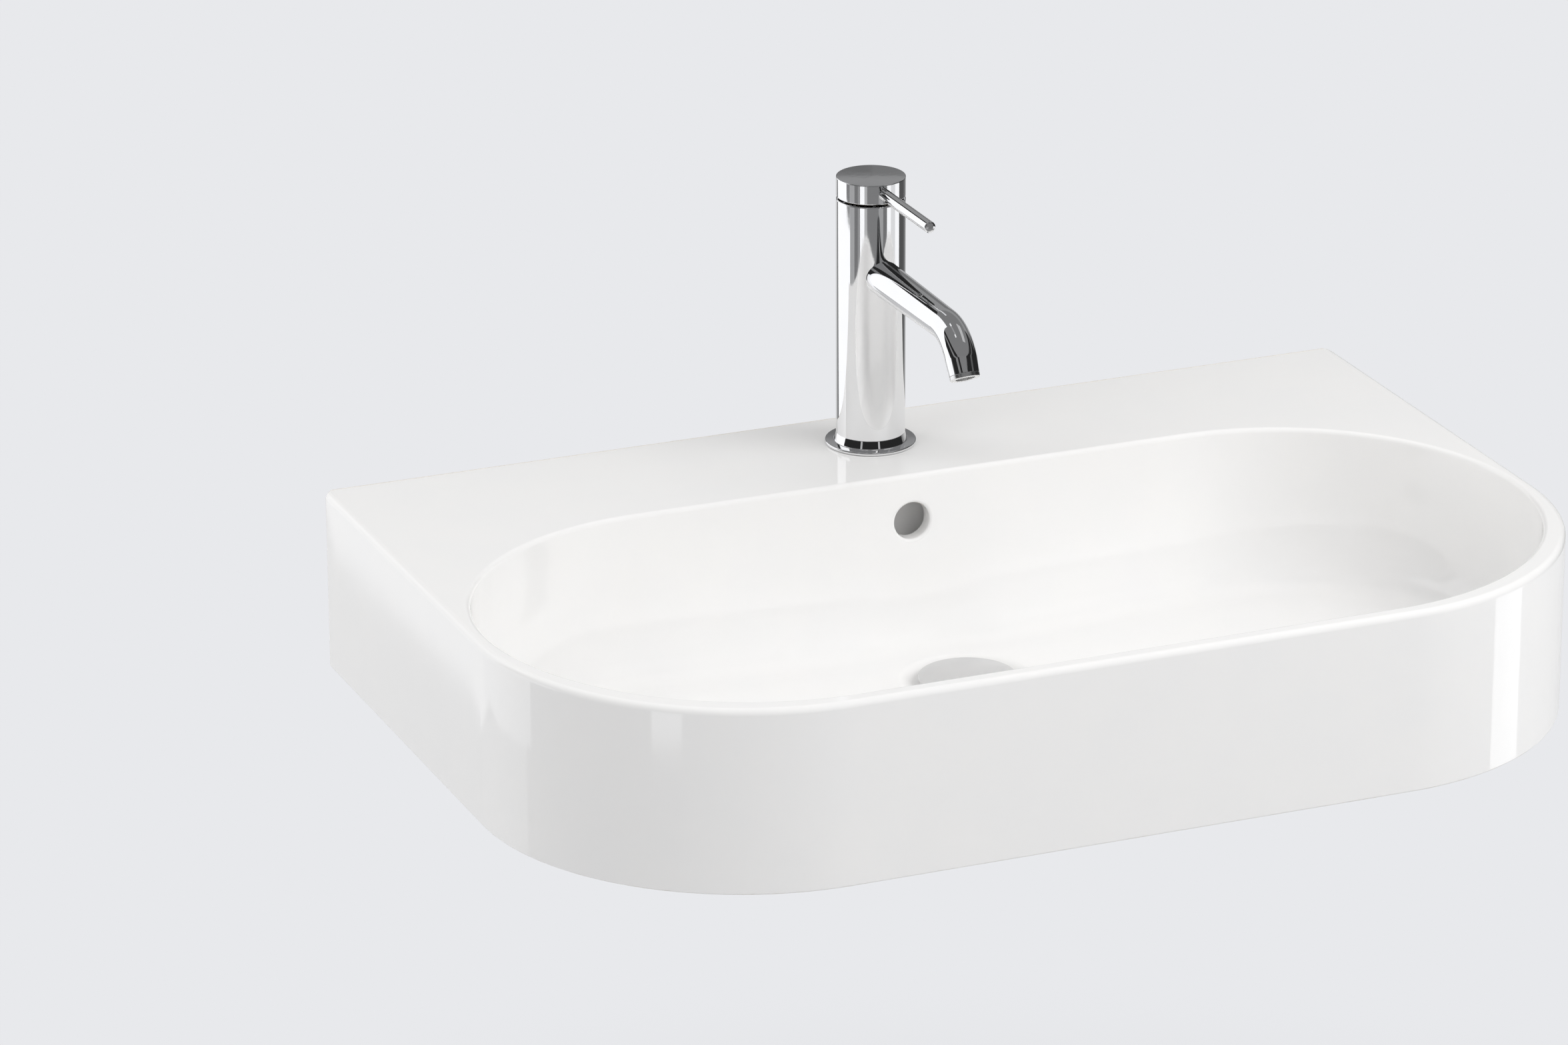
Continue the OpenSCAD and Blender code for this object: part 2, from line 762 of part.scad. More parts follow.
// Turning carrier of the lever, with two lugs that guide the moving disc
module cartridge_carrier() {
    color("lightgray") at_tap() difference() {
        union() {
            translate([0, 0, carrier_foot]) cylinder(r = carrier_r, h = collar_z - clear - carrier_foot);
            translate([0, 0, collar_z - clear - over]) cylinder(r = collar_r, h = over + clear + 4);
            difference() {
                translate([0, 0, moving_z + 1]) cylinder(r = carrier_r, h = carrier_foot - moving_z);
                translate([-disc_flat - 0.2, -2 * carrier_r, moving_z])
                    cube([2 * disc_flat + 0.4, 4 * carrier_r, carrier_foot - moving_z + over]);
            }
        }
        lever_slot();
        translate([-carrier_r, 0, pivot_z]) rotate([0, 90, 0])
            cylinder(r = pivot_d / 2 + 0.02, h = 2 * carrier_r);
    }
}

// Room in the carrier for the lever over its whole travel
module lever_slot() {
    half_w = lever_w / 2 + clear;
    front = lever_w / 2 + clear + 0.5;
    top = collar_z + 4;
    reach = (top + over - pivot_z) * tan(lift_angle) + lever_w / 2 / cos(lift_angle) + clear;
    foot = carrier_foot - over;
    rotate([90, 0, 90]) translate([0, 0, -half_w]) linear_extrude(2 * half_w) polygon([
        [-front - 2.5, foot], [-front, pivot_z], [-front, top + over], [reach, top + over],
        [front + 0.4, pivot_z], [front + 0.4, foot]
    ]);
}

module pivot_pin() {
    color("silver") at_tap(pivot_z) translate([-carrier_r + 0.6, 0, 0]) rotate([0, 90, 0])
        cylinder(d = pivot_d, h = 2 * carrier_r - 1.2);
}

// Lever of the cartridge: a square bar on the pivot, with a ball below
module control_lever() {
    foot = pivot_z - 3.5;
    color("silver") at_tap() difference() {
        union() {
            translate([-lever_w / 2, -lever_w / 2, foot]) cube([lever_w, lever_w, lever_top - foot]);
            translate([0, 0, ball_z]) cylinder(r = 1.5, h = foot - ball_z + over);
            translate([0, 0, ball_z]) sphere(r = ball_r);
        }
        translate([-lever_w, 0, pivot_z]) rotate([0, 90, 0])
            cylinder(r = pivot_d / 2 + 0.06, h = 2 * lever_w);
    }
}

// Ring nut over the cartridge, with four notches for its key
module retaining_nut() {
    color("goldenrod") at_tap(housing_top) difference() {
        tube(nut_r, nut_bore_d / 2, nut_h);
        for (a = [0, 90]) rotate([0, 0, a])
            translate([-nut_r - over, -2, nut_h - 2]) cube([2 * nut_r + 2 * over, 4, 2 + over]);
    }
}

// Cap with its skirt, the hub on the lever and the boss of the rod
module handle_cap() {
    color("silver") at_tap() difference() {
        union() {
            difference() {
                union() {
                    translate([0, 0, cap_z]) cylinder(d = tap_d, h = cap_h - 0.6);
                    translate([0, 0, cap_top - 0.6]) cylinder(d1 = tap_d, d2 = tap_d - 1.2, h = 0.6);
                }
                translate([0, 0, cap_z - over]) cylinder(d = tap_d - 2 * cap_wall, h = cap_h - cap_top_t + over);
            }
            translate([0, 0, cap_hub_foot]) cylinder(r = cap_hub_r, h = cap_top - cap_top_t / 2 - cap_hub_foot);
        }
        translate([-lever_w / 2 - snug, -lever_w / 2 - snug, cap_hub_foot - over])
            cube([lever_w + 2 * snug, lever_w + 2 * snug, lever_top + snug - cap_hub_foot + over]);
        translate([0, 0, rod_z]) rotate([90, 0, 0]) {
            cylinder(r = rod_screw_r + snug, h = cap_hub_r + over);
            translate([0, 0, rod_root]) cylinder(d = rod_d + 2 * snug, h = tap_d);
        }
        translate([0, 0, grub_z]) rotate([90, 0, 0]) cylinder(r = grub_r + snug, h = cap_hub_r + over);
    }
}

// Rod of the handle, screwed into the hub, with a rounded tip
module lever_rod() {
    tip_r = 1;
    color("silver") at_tap(rod_z) rotate([90, 0, 0]) rotate_extrude() {
        translate([0, 4]) square([rod_screw_r, rod_root - 3]);
        translate([0, rod_root]) square([rod_d / 2, rod_reach - tip_r - rod_root]);
        translate([0, rod_root]) square([rod_d / 2 - tip_r, rod_reach - rod_root]);
        translate([rod_d / 2 - tip_r, rod_reach - tip_r]) intersection() {
            circle(r = tip_r);
            square(tip_r);
        }
    }
}

// Screw at the front of the hub, reached under the raised cap
module grub_screw() {
    color("dimgray") at_tap(grub_z) rotate([90, 0, 0]) translate([0, 0, lever_w / 2]) difference() {
        cylinder(r = grub_r, h = cap_hub_r - lever_w / 2 - 0.4);
        translate([0, 0, 1.5]) cylinder(r = 1, h = cap_hub_r, $fn = 6);
    }
}

// Stud, horseshoe pad and bracket, and the nut that clamps the tap to the deck
module fixing_stud() {
    color("goldenrod") at_tap(-deck_t - stud_l) translate([0, stud_offset, 0])
        cylinder(d = stud_d, h = stud_l + deck_t + stud_thread_l - tap_spigot_l);
}

module horseshoe(t) {
    mouth_r = inlet_d / 2 + hose_gap;
    half = inlet_spacing / 2;
    difference() {
        cylinder(d = horseshoe_d, h = t);
        translate([0, 0, -over]) {
            at_inlets() cylinder(r = mouth_r, h = t + 2 * over);
            translate([-half, inlet_y - over, 0]) cube([2 * half, mouth_r + over, t + 2 * over]);
            translate([-half - mouth_r, -horseshoe_d, 0])
                cube([2 * (half + mouth_r), horseshoe_d + inlet_y, t + 2 * over]);
            translate([0, stud_offset, 0]) cylinder(r = stud_d / 2 + clear, h = t + 2 * over);
        }
    }
}

module fixing_gasket() {
    color("dimgray") at_tap(-deck_t - pad_t) horseshoe(pad_t);
}

module fixing_bracket() {
    color("lightgray") at_tap(-deck_t - pad_t - bracket_t) horseshoe(bracket_t);
}

module fixing_nut() {
    color("goldenrod") at_tap(-deck_t - pad_t - bracket_t - fixing_nut_l)
        translate([0, stud_offset, 0]) difference() {
            cylinder(r = stud_d / 2 + 3.5, h = fixing_nut_l, $fn = 6);
            translate([0, 0, -over]) cylinder(r = stud_d / 2 + snug, h = fixing_nut_l + 2 * over);
        }
}

// Flanged waste tube, with its overflow slots and the cross bar of the plug
module waste_body() {
    color("silver") at_waste() difference() {
        union() {
            difference() {
                union() {
                    translate([0, 0, -waste_l]) cylinder(d = waste_d, h = waste_l + flange_top);
                    translate([0, 0, flange_seal_t]) cylinder(d = flange_d, h = flange_t);
                }
                translate([0, 0, -waste_l - over]) cylinder(d = waste_bore_d, h = waste_l + flange_top + 2 * over);
                translate([0, 0, flange_top - 1.5]) cylinder(d1 = waste_bore_d, d2 = waste_bore_d + 3, h = 1.5 + over / 10);
                for (i = [0:slot_count - 1]) rotate([0, 0, 360 * (i + 0.5) / slot_count])
                    translate([0, -slot_w / 2, -slot_drop - slot_h]) cube([waste_d, slot_w, slot_h]);
                translate([0, 0, waste_tail_l - waste_l])
                    tube(waste_d, waste_d / 2 - relief_deep, relief_w);
            }
            translate([-waste_d / 2 + waste_wall / 2, -bar_size / 2, -bar_drop - bar_size])
                cube([waste_d - waste_wall, bar_size, bar_size]);
            translate([0, 0, -bar_drop - bar_size]) cylinder(r = hub_r, h = bar_size);
        }
        translate([0, 0, -waste_l]) cylinder(r = barrel_screw_r + snug, h = waste_l);
    }
}

module flange_seal() {
    color("dimgray") at_waste() tube(flange_d / 2 - 0.5, waste_hole_d / 2 + 0.5, flange_seal_t);
}

// Stepped washer that centres itself in the waste hole from below
module tapered_washer() {
    step = 3.5;
    color("dimgray") at_waste(-boss_h - washer_t) difference() {
        union() {
            cylinder(r = boss_r - 4, h = washer_t);
            cylinder(r = waste_hole_d / 2 - clear, h = washer_t + step);
        }
        translate([0, 0, -over]) cylinder(r = waste_d / 2 + snug, h = washer_t + step + 2 * over);
    }
}

module waste_backnut() {
    color("silver") at_waste(-boss_h - washer_t - backnut_h) difference() {
        cylinder(d = backnut_d, h = backnut_h, $fn = 6);
        translate([0, 0, -over]) cylinder(r = waste_d / 2 + snug, h = backnut_h + 2 * over);
    }
}

// Guide of the plug, screwed into the cross bar, with a pocket for the spring
module click_barrel() {
    color("goldenrod") at_waste(barrel_foot) difference() {
        union() {
            cylinder(d = barrel_d, h = barrel_h);
            translate([0, 0, -bar_size]) cylinder(r = barrel_screw_r, h = bar_size + over);
        }
        translate([0, 0, spring_foot - barrel_foot]) cylinder(r = spring_bore_r, h = barrel_h);
    }
}

// Spring wire as one unbroken tube along a helix
module click_spring() {
    per_turn = 12;
    around = 6;
    rings = spring_turns * per_turn;
    rise = spring_top - spring_foot - spring_wire;
    points = [
        for (k = [0:rings], i = [0:around - 1])
            let (
                turn = 360 * k / per_turn,
                face = 360 * i / around,
                r = spring_r + spring_wire / 2 * cos(face)
            )
            [r * cos(turn), r * sin(turn), rise * k / rings + spring_wire / 2 * sin(face)]
    ];
    sides = [
        for (k = [0:rings - 1], i = [0:around - 1])
            let (j = (i + 1) % around, a = k * around, b = a + around)
            each [[a + i, b + j, a + j], [a + i, b + i, b + j]]
    ];
    lids = [
        [for (i = [0:around - 1]) i],
        [for (i = [around - 1:-1:0]) rings * around + i]
    ];
    color("gray") at_waste(spring_foot + spring_wire / 2)
        polyhedron(points = points, faces = concat(sides, lids));
}

// Sleeve under the plug cap, which slides on the barrel
module plug_stem() {
    color("goldenrod") at_waste() difference() {
        translate([0, 0, sleeve_foot]) cylinder(r = sleeve_r + sleeve_wall, h = plug_under - sleeve_foot);
        translate([0, 0, sleeve_foot - over]) cylinder(r = sleeve_r, h = spring_top - sleeve_foot + over);
        translate([0, 0, spring_top - over]) cylinder(r = cap_screw_r + snug, h = sleeve_top_t + 2 * over);
    }
}

module plug_seal() {
    color("dimgray") at_waste(plug_rest) tube(flange_d / 2 - 1.5, waste_bore_d / 2 + 4, plug_seal_t);
}

// Domed cap of the plug, with the screw that holds it on its sleeve
module plug_cap() {
    edge = 0.8;
    dome_r = (pow(plug_d / 2 - edge, 2) + pow(plug_crown, 2)) / (2 * plug_crown);
    color("silver") at_waste(plug_under) {
        rotate_extrude() {
            square([plug_d / 2 - edge, plug_edge_t]);
            translate([0, edge]) square([plug_d / 2, plug_edge_t - 2 * edge]);
            for (z = [edge, plug_edge_t - edge]) translate([plug_d / 2 - edge, z]) circle(r = edge);
            intersection() {
                translate([0, plug_edge_t + plug_crown - dome_r]) circle(r = dome_r, $fn = 400);
                square([plug_d / 2 - edge, plug_edge_t + plug_crown]);
            }
        }
        translate([0, 0, -sleeve_top_t]) cylinder(r = cap_screw_r, h = sleeve_top_t + edge);
    }
}

basin();
tap_body();
base_ring();
base_seal();
spout();
aerator_housing();
aerator_insert();
aerator_seal();
cartridge_base();
port_seals();
fixed_disc();
moving_disc();
cartridge_housing();
cartridge_carrier();
pivot_pin();
control_lever();
retaining_nut();
handle_cap();
lever_rod();
grub_screw();
fixing_stud();
fixing_gasket();
fixing_bracket();
fixing_nut();
waste_body();
flange_seal();
tapered_washer();
waste_backnut();
click_barrel();
click_spring();
plug_stem();
plug_seal();
plug_cap();
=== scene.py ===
"""Dressed model of a wall-hung basin with its single-lever tap and push-open waste.

All shapes are worked out in millimetres, with the deck of the basin at height DECK, and
are scaled to metres when a piece is published on its body.
"""
import logging
import math
from collections.abc import Sequence
from dataclasses import dataclass, field
from enum import Enum

import bmesh
import bpy
from bmesh.types import BMEdge, BMesh, BMVert
from bpy.types import Material, Node, NodeSocket, Object, World
from mathutils import Matrix, Vector


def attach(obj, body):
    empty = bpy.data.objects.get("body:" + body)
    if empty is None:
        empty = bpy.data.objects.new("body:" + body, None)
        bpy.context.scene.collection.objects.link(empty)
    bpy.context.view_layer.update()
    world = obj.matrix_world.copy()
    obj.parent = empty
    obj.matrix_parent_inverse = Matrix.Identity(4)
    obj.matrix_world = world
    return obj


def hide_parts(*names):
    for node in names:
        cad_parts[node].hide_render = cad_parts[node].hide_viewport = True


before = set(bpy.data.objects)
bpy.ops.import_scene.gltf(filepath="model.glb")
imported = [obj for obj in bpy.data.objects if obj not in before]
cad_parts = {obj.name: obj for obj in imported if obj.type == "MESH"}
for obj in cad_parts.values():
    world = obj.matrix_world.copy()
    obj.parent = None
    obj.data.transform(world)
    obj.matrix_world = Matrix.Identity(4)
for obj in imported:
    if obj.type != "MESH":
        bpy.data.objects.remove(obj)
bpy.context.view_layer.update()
LOG = logging.getLogger("basin")

MM = 0.001
DECK = 56.0
TAP = Vector((0.0, -49.0, DECK))
SEAT = Vector((0.0, -203.0, DECK - 109.5))
TURN = 2.0 * math.pi
LAY = Matrix.Rotation(math.radians(90), 4, "X")
# Distances in millimetres below which points are the same one, to find and to merge
NEAR = 1e-3
MERGE = 1e-4


class Body(Enum):
    """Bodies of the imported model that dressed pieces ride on."""

    FIXED = "fixed"
    HANDLE = "handle"
    PLUG = "plug"


class Slot(Enum):
    """Names of the material slots."""

    GLAZE = "glazed_white"
    TAP_BODY = "chrome_body"
    RING = "chrome_ring"
    SPOUT = "chrome_spout"
    OUTLET = "chrome_satin"
    CAP = "chrome_cap"
    ROD = "chrome_rod"
    WASTE = "chrome_waste"
    PLUG = "chrome_plug"
    STUD = "stud_brass"
    NUT = "nut_brass"


class Field:
    """A number that varies over a surface, with Python's own operators."""

    def __init__(self, surface: "Surface", socket: NodeSocket) -> None:
        """Wraps one output of the surface's nodes."""
        self.surface = surface
        self.socket = socket

    def math(self, operation: str, *values: "Field | float") -> "Field":
        """The result of one Math node on operands in order."""
        made = self.surface.node("ShaderNodeMath", {"operation": operation}, dict(enumerate(values)))
        return Field(self.surface, made.outputs[0])

    def __add__(self, other: "Field | float") -> "Field":
        """Sum."""
        return self.math("ADD", self, other)

    def __radd__(self, other: float) -> "Field":
        """Sum with a plain number first."""
        return self.math("ADD", other, self)

    def __sub__(self, other: "Field | float") -> "Field":
        """Difference."""
        return self.math("SUBTRACT", self, other)

    def __rsub__(self, other: float) -> "Field":
        """Difference with a plain number first."""
        return self.math("SUBTRACT", other, self)

    def __mul__(self, other: "Field | float") -> "Field":
        """Product."""
        return self.math("MULTIPLY", self, other)

    def __neg__(self) -> "Field":
        """The number with its sign changed."""
        return self.math("MULTIPLY", self, -1.0)

    def most(self, other: "Field | float") -> "Field":
        """The larger of two numbers."""
        return self.math("MAXIMUM", self, other)

    def step(self, low: float, high: float) -> "Field":
        """Rises smoothly from 0 at one value to 1 at another.

        Args:
            low: the value that gives 0.
            high: the value that gives 1.

        Returns:
            The rising number.
        """
        made = self.surface.node(
            "ShaderNodeMapRange",
            {"interpolation_type": "SMOOTHSTEP"},
            {"Value": self, "From Min": low, "From Max": high},
        )
        return Field(self.surface, made.outputs[0])

    def between(self, low: float, high: float) -> "Field":
        """Turns 0 to 1 into a low and a high value."""
        return self * (high - low) + low


class Surface:
    """Builds the nodes of one material, or of the world."""

    def __init__(self, holder: Material | World) -> None:
        """Empties the nodes of a material or world.

        Args:
            holder: the material or world.
        """
        holder.use_nodes = True
        self.holder = holder
        self.tree = holder.node_tree
        self.tree.nodes.clear()

    def node(self, kind: str, settings: dict[str, object], values: dict) -> Node:
        """Adds one node.

        Args:
            kind: the type of the node.
            settings: its properties, set first.
            values: numbers, colours, fields or outputs for its inputs, by name or index.

        Returns:
            The node.
        """
        made = self.tree.nodes.new(kind)
        for name, setting in settings.items():
            setattr(made, name, setting)
        for key, value in values.items():
            if isinstance(value, Field):
                self.tree.links.new(value.socket, made.inputs[key])
            elif isinstance(value, NodeSocket):
                self.tree.links.new(value, made.inputs[key])
            else:
                made.inputs[key].default_value = value
        return made

    def place(
        self, centre: Sequence[float] = (0, 0, 0), stretch: Sequence[float] = (1, 1, 1)
    ) -> NodeSocket:
        """Object coordinates about a centre.

        Args:
            centre: the new origin, in metres.
            stretch: factors along the three axes.

        Returns:
            The output with the coordinates.
        """
        read = self.node("ShaderNodeTexCoord", {}, {})
        shift = tuple(-c * s for c, s in zip(centre, stretch))
        values = {"Vector": read.outputs["Object"], "Location": shift, "Scale": tuple(stretch)}
        return self.node("ShaderNodeMapping", {}, values).outputs[0]

    def split(self, vector: NodeSocket) -> tuple[Field, ...]:
        """Separates a vector into its three numbers."""
        made = self.node("ShaderNodeSeparateXYZ", {}, {"Vector": vector})
        return tuple(Field(self, out) for out in made.outputs)

    def noise(self, where: NodeSocket, scale: float, detail: float = 2.0) -> Field:
        """Cloudy pattern from 0 to 1, with so many patches in a metre and finer layers."""
        made = self.node("ShaderNodeTexNoise", {}, {"Vector": where, "Scale": scale, "Detail": detail})
        return Field(self, made.outputs[0])

    def cells(self, where: NodeSocket, scale: float) -> Field:
        """Distance to the nearest of scattered points, in units of their spacing."""
        made = self.node("ShaderNodeTexVoronoi", {}, {"Vector": where, "Scale": scale})
        return Field(self, made.outputs["Distance"])

    def rings(self, where: NodeSocket, scale: float) -> Field:
        """Concentric lines about the Z axis, as a lathe leaves them.

        Args:
            where: coordinates in metres.
            scale: lines in a metre, divided by about 3.

        Returns:
            The lines, from 0 to 1.
        """
        settings = {"wave_type": "RINGS", "rings_direction": "Z"}
        values = {"Vector": where, "Scale": scale, "Distortion": 1.5, "Detail": 2.0}
        return Field(self, self.node("ShaderNodeTexWave", settings, values).outputs[1])

    def blend(
        self, factor: Field, first: Sequence[float] | NodeSocket, second: Sequence[float] | NodeSocket
    ) -> NodeSocket:
        """Mixes two colours.

        Args:
            factor: 0 for the first colour, 1 for the second.
            first: a colour of three numbers, or an output.
            second: a colour of three numbers, or an output.

        Returns:
            The output with the mixed colour.
        """
        both = [c if isinstance(c, NodeSocket) else (*c, 1.0) for c in (first, second)]
        values = {0: factor, 6: both[0], 7: both[1]}
        return self.node("ShaderNodeMix", {"data_type": "RGBA"}, values).outputs[2]

    def bump(self, height: Field, depth: float) -> NodeSocket:
        """Normal bent by a relief from 0 to 1 that is so many metres high."""
        return self.node("ShaderNodeBump", {}, {"Height": height, "Distance": depth}).outputs[0]

    def seen(self) -> Field:
        """Tells rays that show a surface from rays that only light others.

        Returns:
            1 for camera, glossy and transmission rays, and 0 for the rest.
        """
        path = self.node("ShaderNodeLightPath", {}, {})
        rays = [Field(self, path.outputs[f"Is {kind} Ray"]) for kind in ("Camera", "Glossy", "Transmission")]
        return rays[0].most(rays[1]).most(rays[2])

    def mix(self, factor: Field, first: Node, second: Node) -> Node:
        """Mixes two shaders, with a factor of 0 for the first alone."""
        values = {0: factor, 1: first.outputs[0], 2: second.outputs[0]}
        return self.node("ShaderNodeMixShader", {}, values)

    def finish(self, shader: Node, output: str = "ShaderNodeOutputMaterial") -> Material | World:
        """Leads a shader to the output and returns the material or world."""
        self.node(output, {}, {"Surface": shader.outputs[0]})
        return self.holder


@dataclass(frozen=True)
class Finish:
    """What the finish of a piece has in common."""

    name: str

    def dress(self, surface: Surface) -> dict[str, object]:
        """Gives the inputs of the shader, which each kind of finish works out."""
        raise NotImplementedError

    def material(self) -> Material:
        """The material of this finish, made at its first use."""
        found = bpy.data.materials.get(self.name)
        if found:
            return found
        surface = Surface(bpy.data.materials.new(self.name))
        return surface.finish(surface.node("ShaderNodeBsdfPrincipled", {}, self.dress(surface)))


@dataclass(frozen=True)
class Glaze(Finish):
    """White sanitary glaze, with the bare fired clay left open at the foot, wall and underside."""

    colour: tuple[float, float, float] = (0.872, 0.866, 0.858)
    pooled: tuple[float, float, float] = (0.864, 0.860, 0.855)
    clay: tuple[float, float, float] = (0.74, 0.715, 0.67)
    clay_dark: tuple[float, float, float] = (0.64, 0.60, 0.55)
    roughness: float = 0.055
    haze: float = 0.012
    clay_roughness: float = 0.82
    depth: float = 0.00002
    index: float = 1.52
    foot: float = -0.0592
    foot_fade: float = 0.0006
    ragged: float = 0.0008
    wall_line: tuple[float, float] = (-0.0016, -0.0009)
    under_line: tuple[float, float] = (0.55, 0.75)

    def dress(self, surface: Surface) -> dict[str, object]:
        """Works out the glaze and the bare clay.

        Args:
            surface: the surface to extend.

        Returns:
            The inputs of the shader.
        """
        where = surface.place()
        _, y, z = surface.split(where)
        facing = surface.node("ShaderNodeNewGeometry", {}, {}).outputs["Normal"]
        _, _, up = surface.split(facing)
        edge = surface.noise(where, 90.0, 3.0).between(-self.ragged, self.ragged)
        foot = (self.foot + edge - z).step(0.0, self.foot_fade)
        wall = (y + edge).step(*self.wall_line)
        under = (-up).step(*self.under_line)
        bare = foot.most(wall).most(under)
        grain = surface.noise(where, 900.0, 4.0)
        mottle = surface.noise(where, 24.0, 3.0).step(0.35, 0.7)
        glaze = surface.blend(mottle, self.colour, self.pooled)
        clay = surface.blend(grain.step(0.35, 0.75), self.clay, self.clay_dark)
        dull = surface.noise(where, 14.0, 2.0).between(self.roughness - self.haze, self.roughness + self.haze)
        wave = surface.noise(where, 26.0, 1.0) * (1.0 - bare)
        relief = wave + grain * bare * 6.0
        return {
            "Base Color": surface.blend(bare, glaze, clay),
            "Roughness": dull * (1.0 - bare) + bare * self.clay_roughness,
            "Normal": surface.bump(relief, self.depth),
            "IOR": self.index,
        }


@dataclass(frozen=True)
class Metal(Finish):
    """Polished, satin or machined metal."""

    colour: tuple[float, float, float] = (0.90, 0.902, 0.908)
    tint: tuple[float, float, float] = (0.88, 0.883, 0.892)
    polished: float = 0.03
    dull: float = 0.07
    centre: tuple[float, float, float] = (0.0, 0.0, 0.0)
    lathe_lines: float = 0.0
    grain: float = 0.0
    smudge: tuple[float, float] = (0.42, 0.74)
    drop: tuple[float, float] = (0.05, 0.13)
    drop_share: float = 0.6
    peel_depth: float = 0.0000025
    line_depth: float = 0.00001

    def dress(self, surface: Surface) -> dict[str, object]:
        """Works out smudges, dried drops and tool marks.

        Args:
            surface: the surface to extend.

        Returns:
            The inputs of the shader.
        """
        where = surface.place(self.centre)
        cloud = surface.noise(where, 38.0, 4.0).step(*self.smudge)
        drops = 1.0 - surface.cells(where, 120.0).step(*self.drop)
        worn = cloud.most(drops * self.drop_share)
        if self.lathe_lines:
            relief, depth = surface.rings(where, self.lathe_lines), self.line_depth
        else:
            grain = surface.noise(where, 3000.0, 2.0) * self.grain
            relief, depth = surface.noise(where, 300.0, 1.0) + grain, self.peel_depth
        return {
            "Base Color": surface.blend(cloud, self.colour, self.tint),
            "Metallic": 1.0,
            "Roughness": worn.between(self.polished, self.dull),
            "Normal": surface.bump(relief, depth),
        }


@dataclass(frozen=True)
class Compound(Finish):
    """Moulded rubber, plastic or sintered ceramic."""

    colour: tuple[float, float, float] = (0.03, 0.03, 0.032)
    shade: tuple[float, float, float] = (0.045, 0.045, 0.046)
    smooth: float = 0.45
    rough: float = 0.62
    grain: float = 1600.0
    depth: float = 0.00001

    def dress(self, surface: Surface) -> dict[str, object]:
        """Works out the mottling and the fine grain of the mould.

        Args:
            surface: the surface to extend.

        Returns:
            The inputs of the shader.
        """
        where = surface.place()
        mottle = surface.noise(where, 70.0, 3.0).step(0.35, 0.7)
        grain = surface.noise(where, self.grain, 3.0)
        return {
            "Base Color": surface.blend(mottle * 0.6 + grain * 0.4, self.colour, self.shade),
            "Roughness": grain.between(self.smooth, self.rough),
            "Normal": surface.bump(grain, self.depth),
        }


GLAZE = Glaze("white_glaze")
TAP_AXIS = tuple(TAP * MM)
WASTE_AXIS = tuple(SEAT * MM)
CHROME = Metal("chrome_polished", centre=TAP_AXIS)
CHROME_WASTE = Metal("chrome_of_waste", polished=0.05, dull=0.10, centre=WASTE_AXIS)
# The plug's chrome is darker than the tap's: partly a duller finish, partly painted shade of the dish that
# the plug sits in.
PLUG_CHROME_WITH_PAINTED_SHADE = Metal(
    "chrome_of_plug_painted_shade", (0.70, 0.70, 0.705), (0.66, 0.66, 0.668), 0.06, 0.12, centre=WASTE_AXIS
)
SATIN = Metal("chrome_satin_outlet", (0.84, 0.84, 0.84), (0.80, 0.80, 0.81), 0.20, 0.30, TAP_AXIS)
BRASS = Metal("brass_turned", (0.78, 0.62, 0.34), (0.70, 0.54, 0.28), 0.18, 0.34, TAP_AXIS, 900.0)
BRASS_WASTE = Metal(
    "brass_of_guide", (0.78, 0.62, 0.34), (0.70, 0.54, 0.28), 0.18, 0.34, WASTE_AXIS, 900.0
)
STEEL = Metal("steel_ground", (0.60, 0.60, 0.61), (0.52, 0.52, 0.53), 0.18, 0.32, TAP_AXIS, 700.0)
SPRING = Metal("steel_wire", (0.56, 0.56, 0.58), (0.46, 0.46, 0.48), 0.22, 0.36, WASTE_AXIS)
ZINC = Metal("steel_zinc_plated", (0.68, 0.69, 0.72), (0.60, 0.61, 0.60), 0.26, 0.42, TAP_AXIS, 0.0, 2.0)
DARK_STEEL = Metal("steel_blackened", (0.16, 0.16, 0.17), (0.10, 0.10, 0.11), 0.30, 0.45, TAP_AXIS)
RUBBER = Compound("rubber_black")
GASKET = Compound("rubber_gasket", (0.035, 0.035, 0.036), (0.06, 0.06, 0.06), 0.6, 0.8, 900.0, 0.00003)
WHITE_PLASTIC = Compound("plastic_white", (0.80, 0.80, 0.79), (0.76, 0.76, 0.74), 0.3, 0.42)
NYLON = Compound("nylon_glass_filled", (0.70, 0.69, 0.64), (0.62, 0.61, 0.56), 0.42, 0.6, 2200.0)
GREY_PLASTIC = Compound("plastic_grey", (0.33, 0.34, 0.36), (0.28, 0.29, 0.31), 0.35, 0.5)
ALUMINA = Compound("alumina_lapped", (0.86, 0.83, 0.76), (0.80, 0.77, 0.70), 0.16, 0.30, 4000.0, 0.000002)

CARRIED_OVER = {
    RUBBER: ("base_seal", "aerator_seal", "port_seals", "flange_seal", "plug_seal"),
    GASKET: ("fixing_gasket", "tapered_washer"),
    WHITE_PLASTIC: ("aerator_insert",),
    NYLON: ("cartridge_base", "cartridge_housing"),
    GREY_PLASTIC: ("cartridge_carrier",),
    ALUMINA: ("fixed_disc", "moving_disc"),
    STEEL: ("pivot_pin",),
    BRASS: ("control_lever", "retaining_nut"),
    DARK_STEEL: ("grub_screw",),
    ZINC: ("fixing_bracket",),
    BRASS_WASTE: ("click_barrel", "plug_stem"),
    SPRING: ("click_spring",),
}


def verts_of(geom: Sequence) -> list[BMVert]:
    """The vertices among what an operator made."""
    return [g for g in geom if isinstance(g, BMVert)]


def edges_of(geom: Sequence) -> list[BMEdge]:
    """The edges among what an operator made."""
    return [g for g in geom if isinstance(g, BMEdge)]


def quarter(parts: int, first: int = 0) -> list[tuple[float, float]]:
    """Points of a quarter circle of radius 1, as 1 less its sine and 1 less its cosine."""
    angles = [math.radians(90 * k / parts) for k in range(first, parts + 1)]
    return [(1 - math.sin(a), 1 - math.cos(a)) for a in angles]


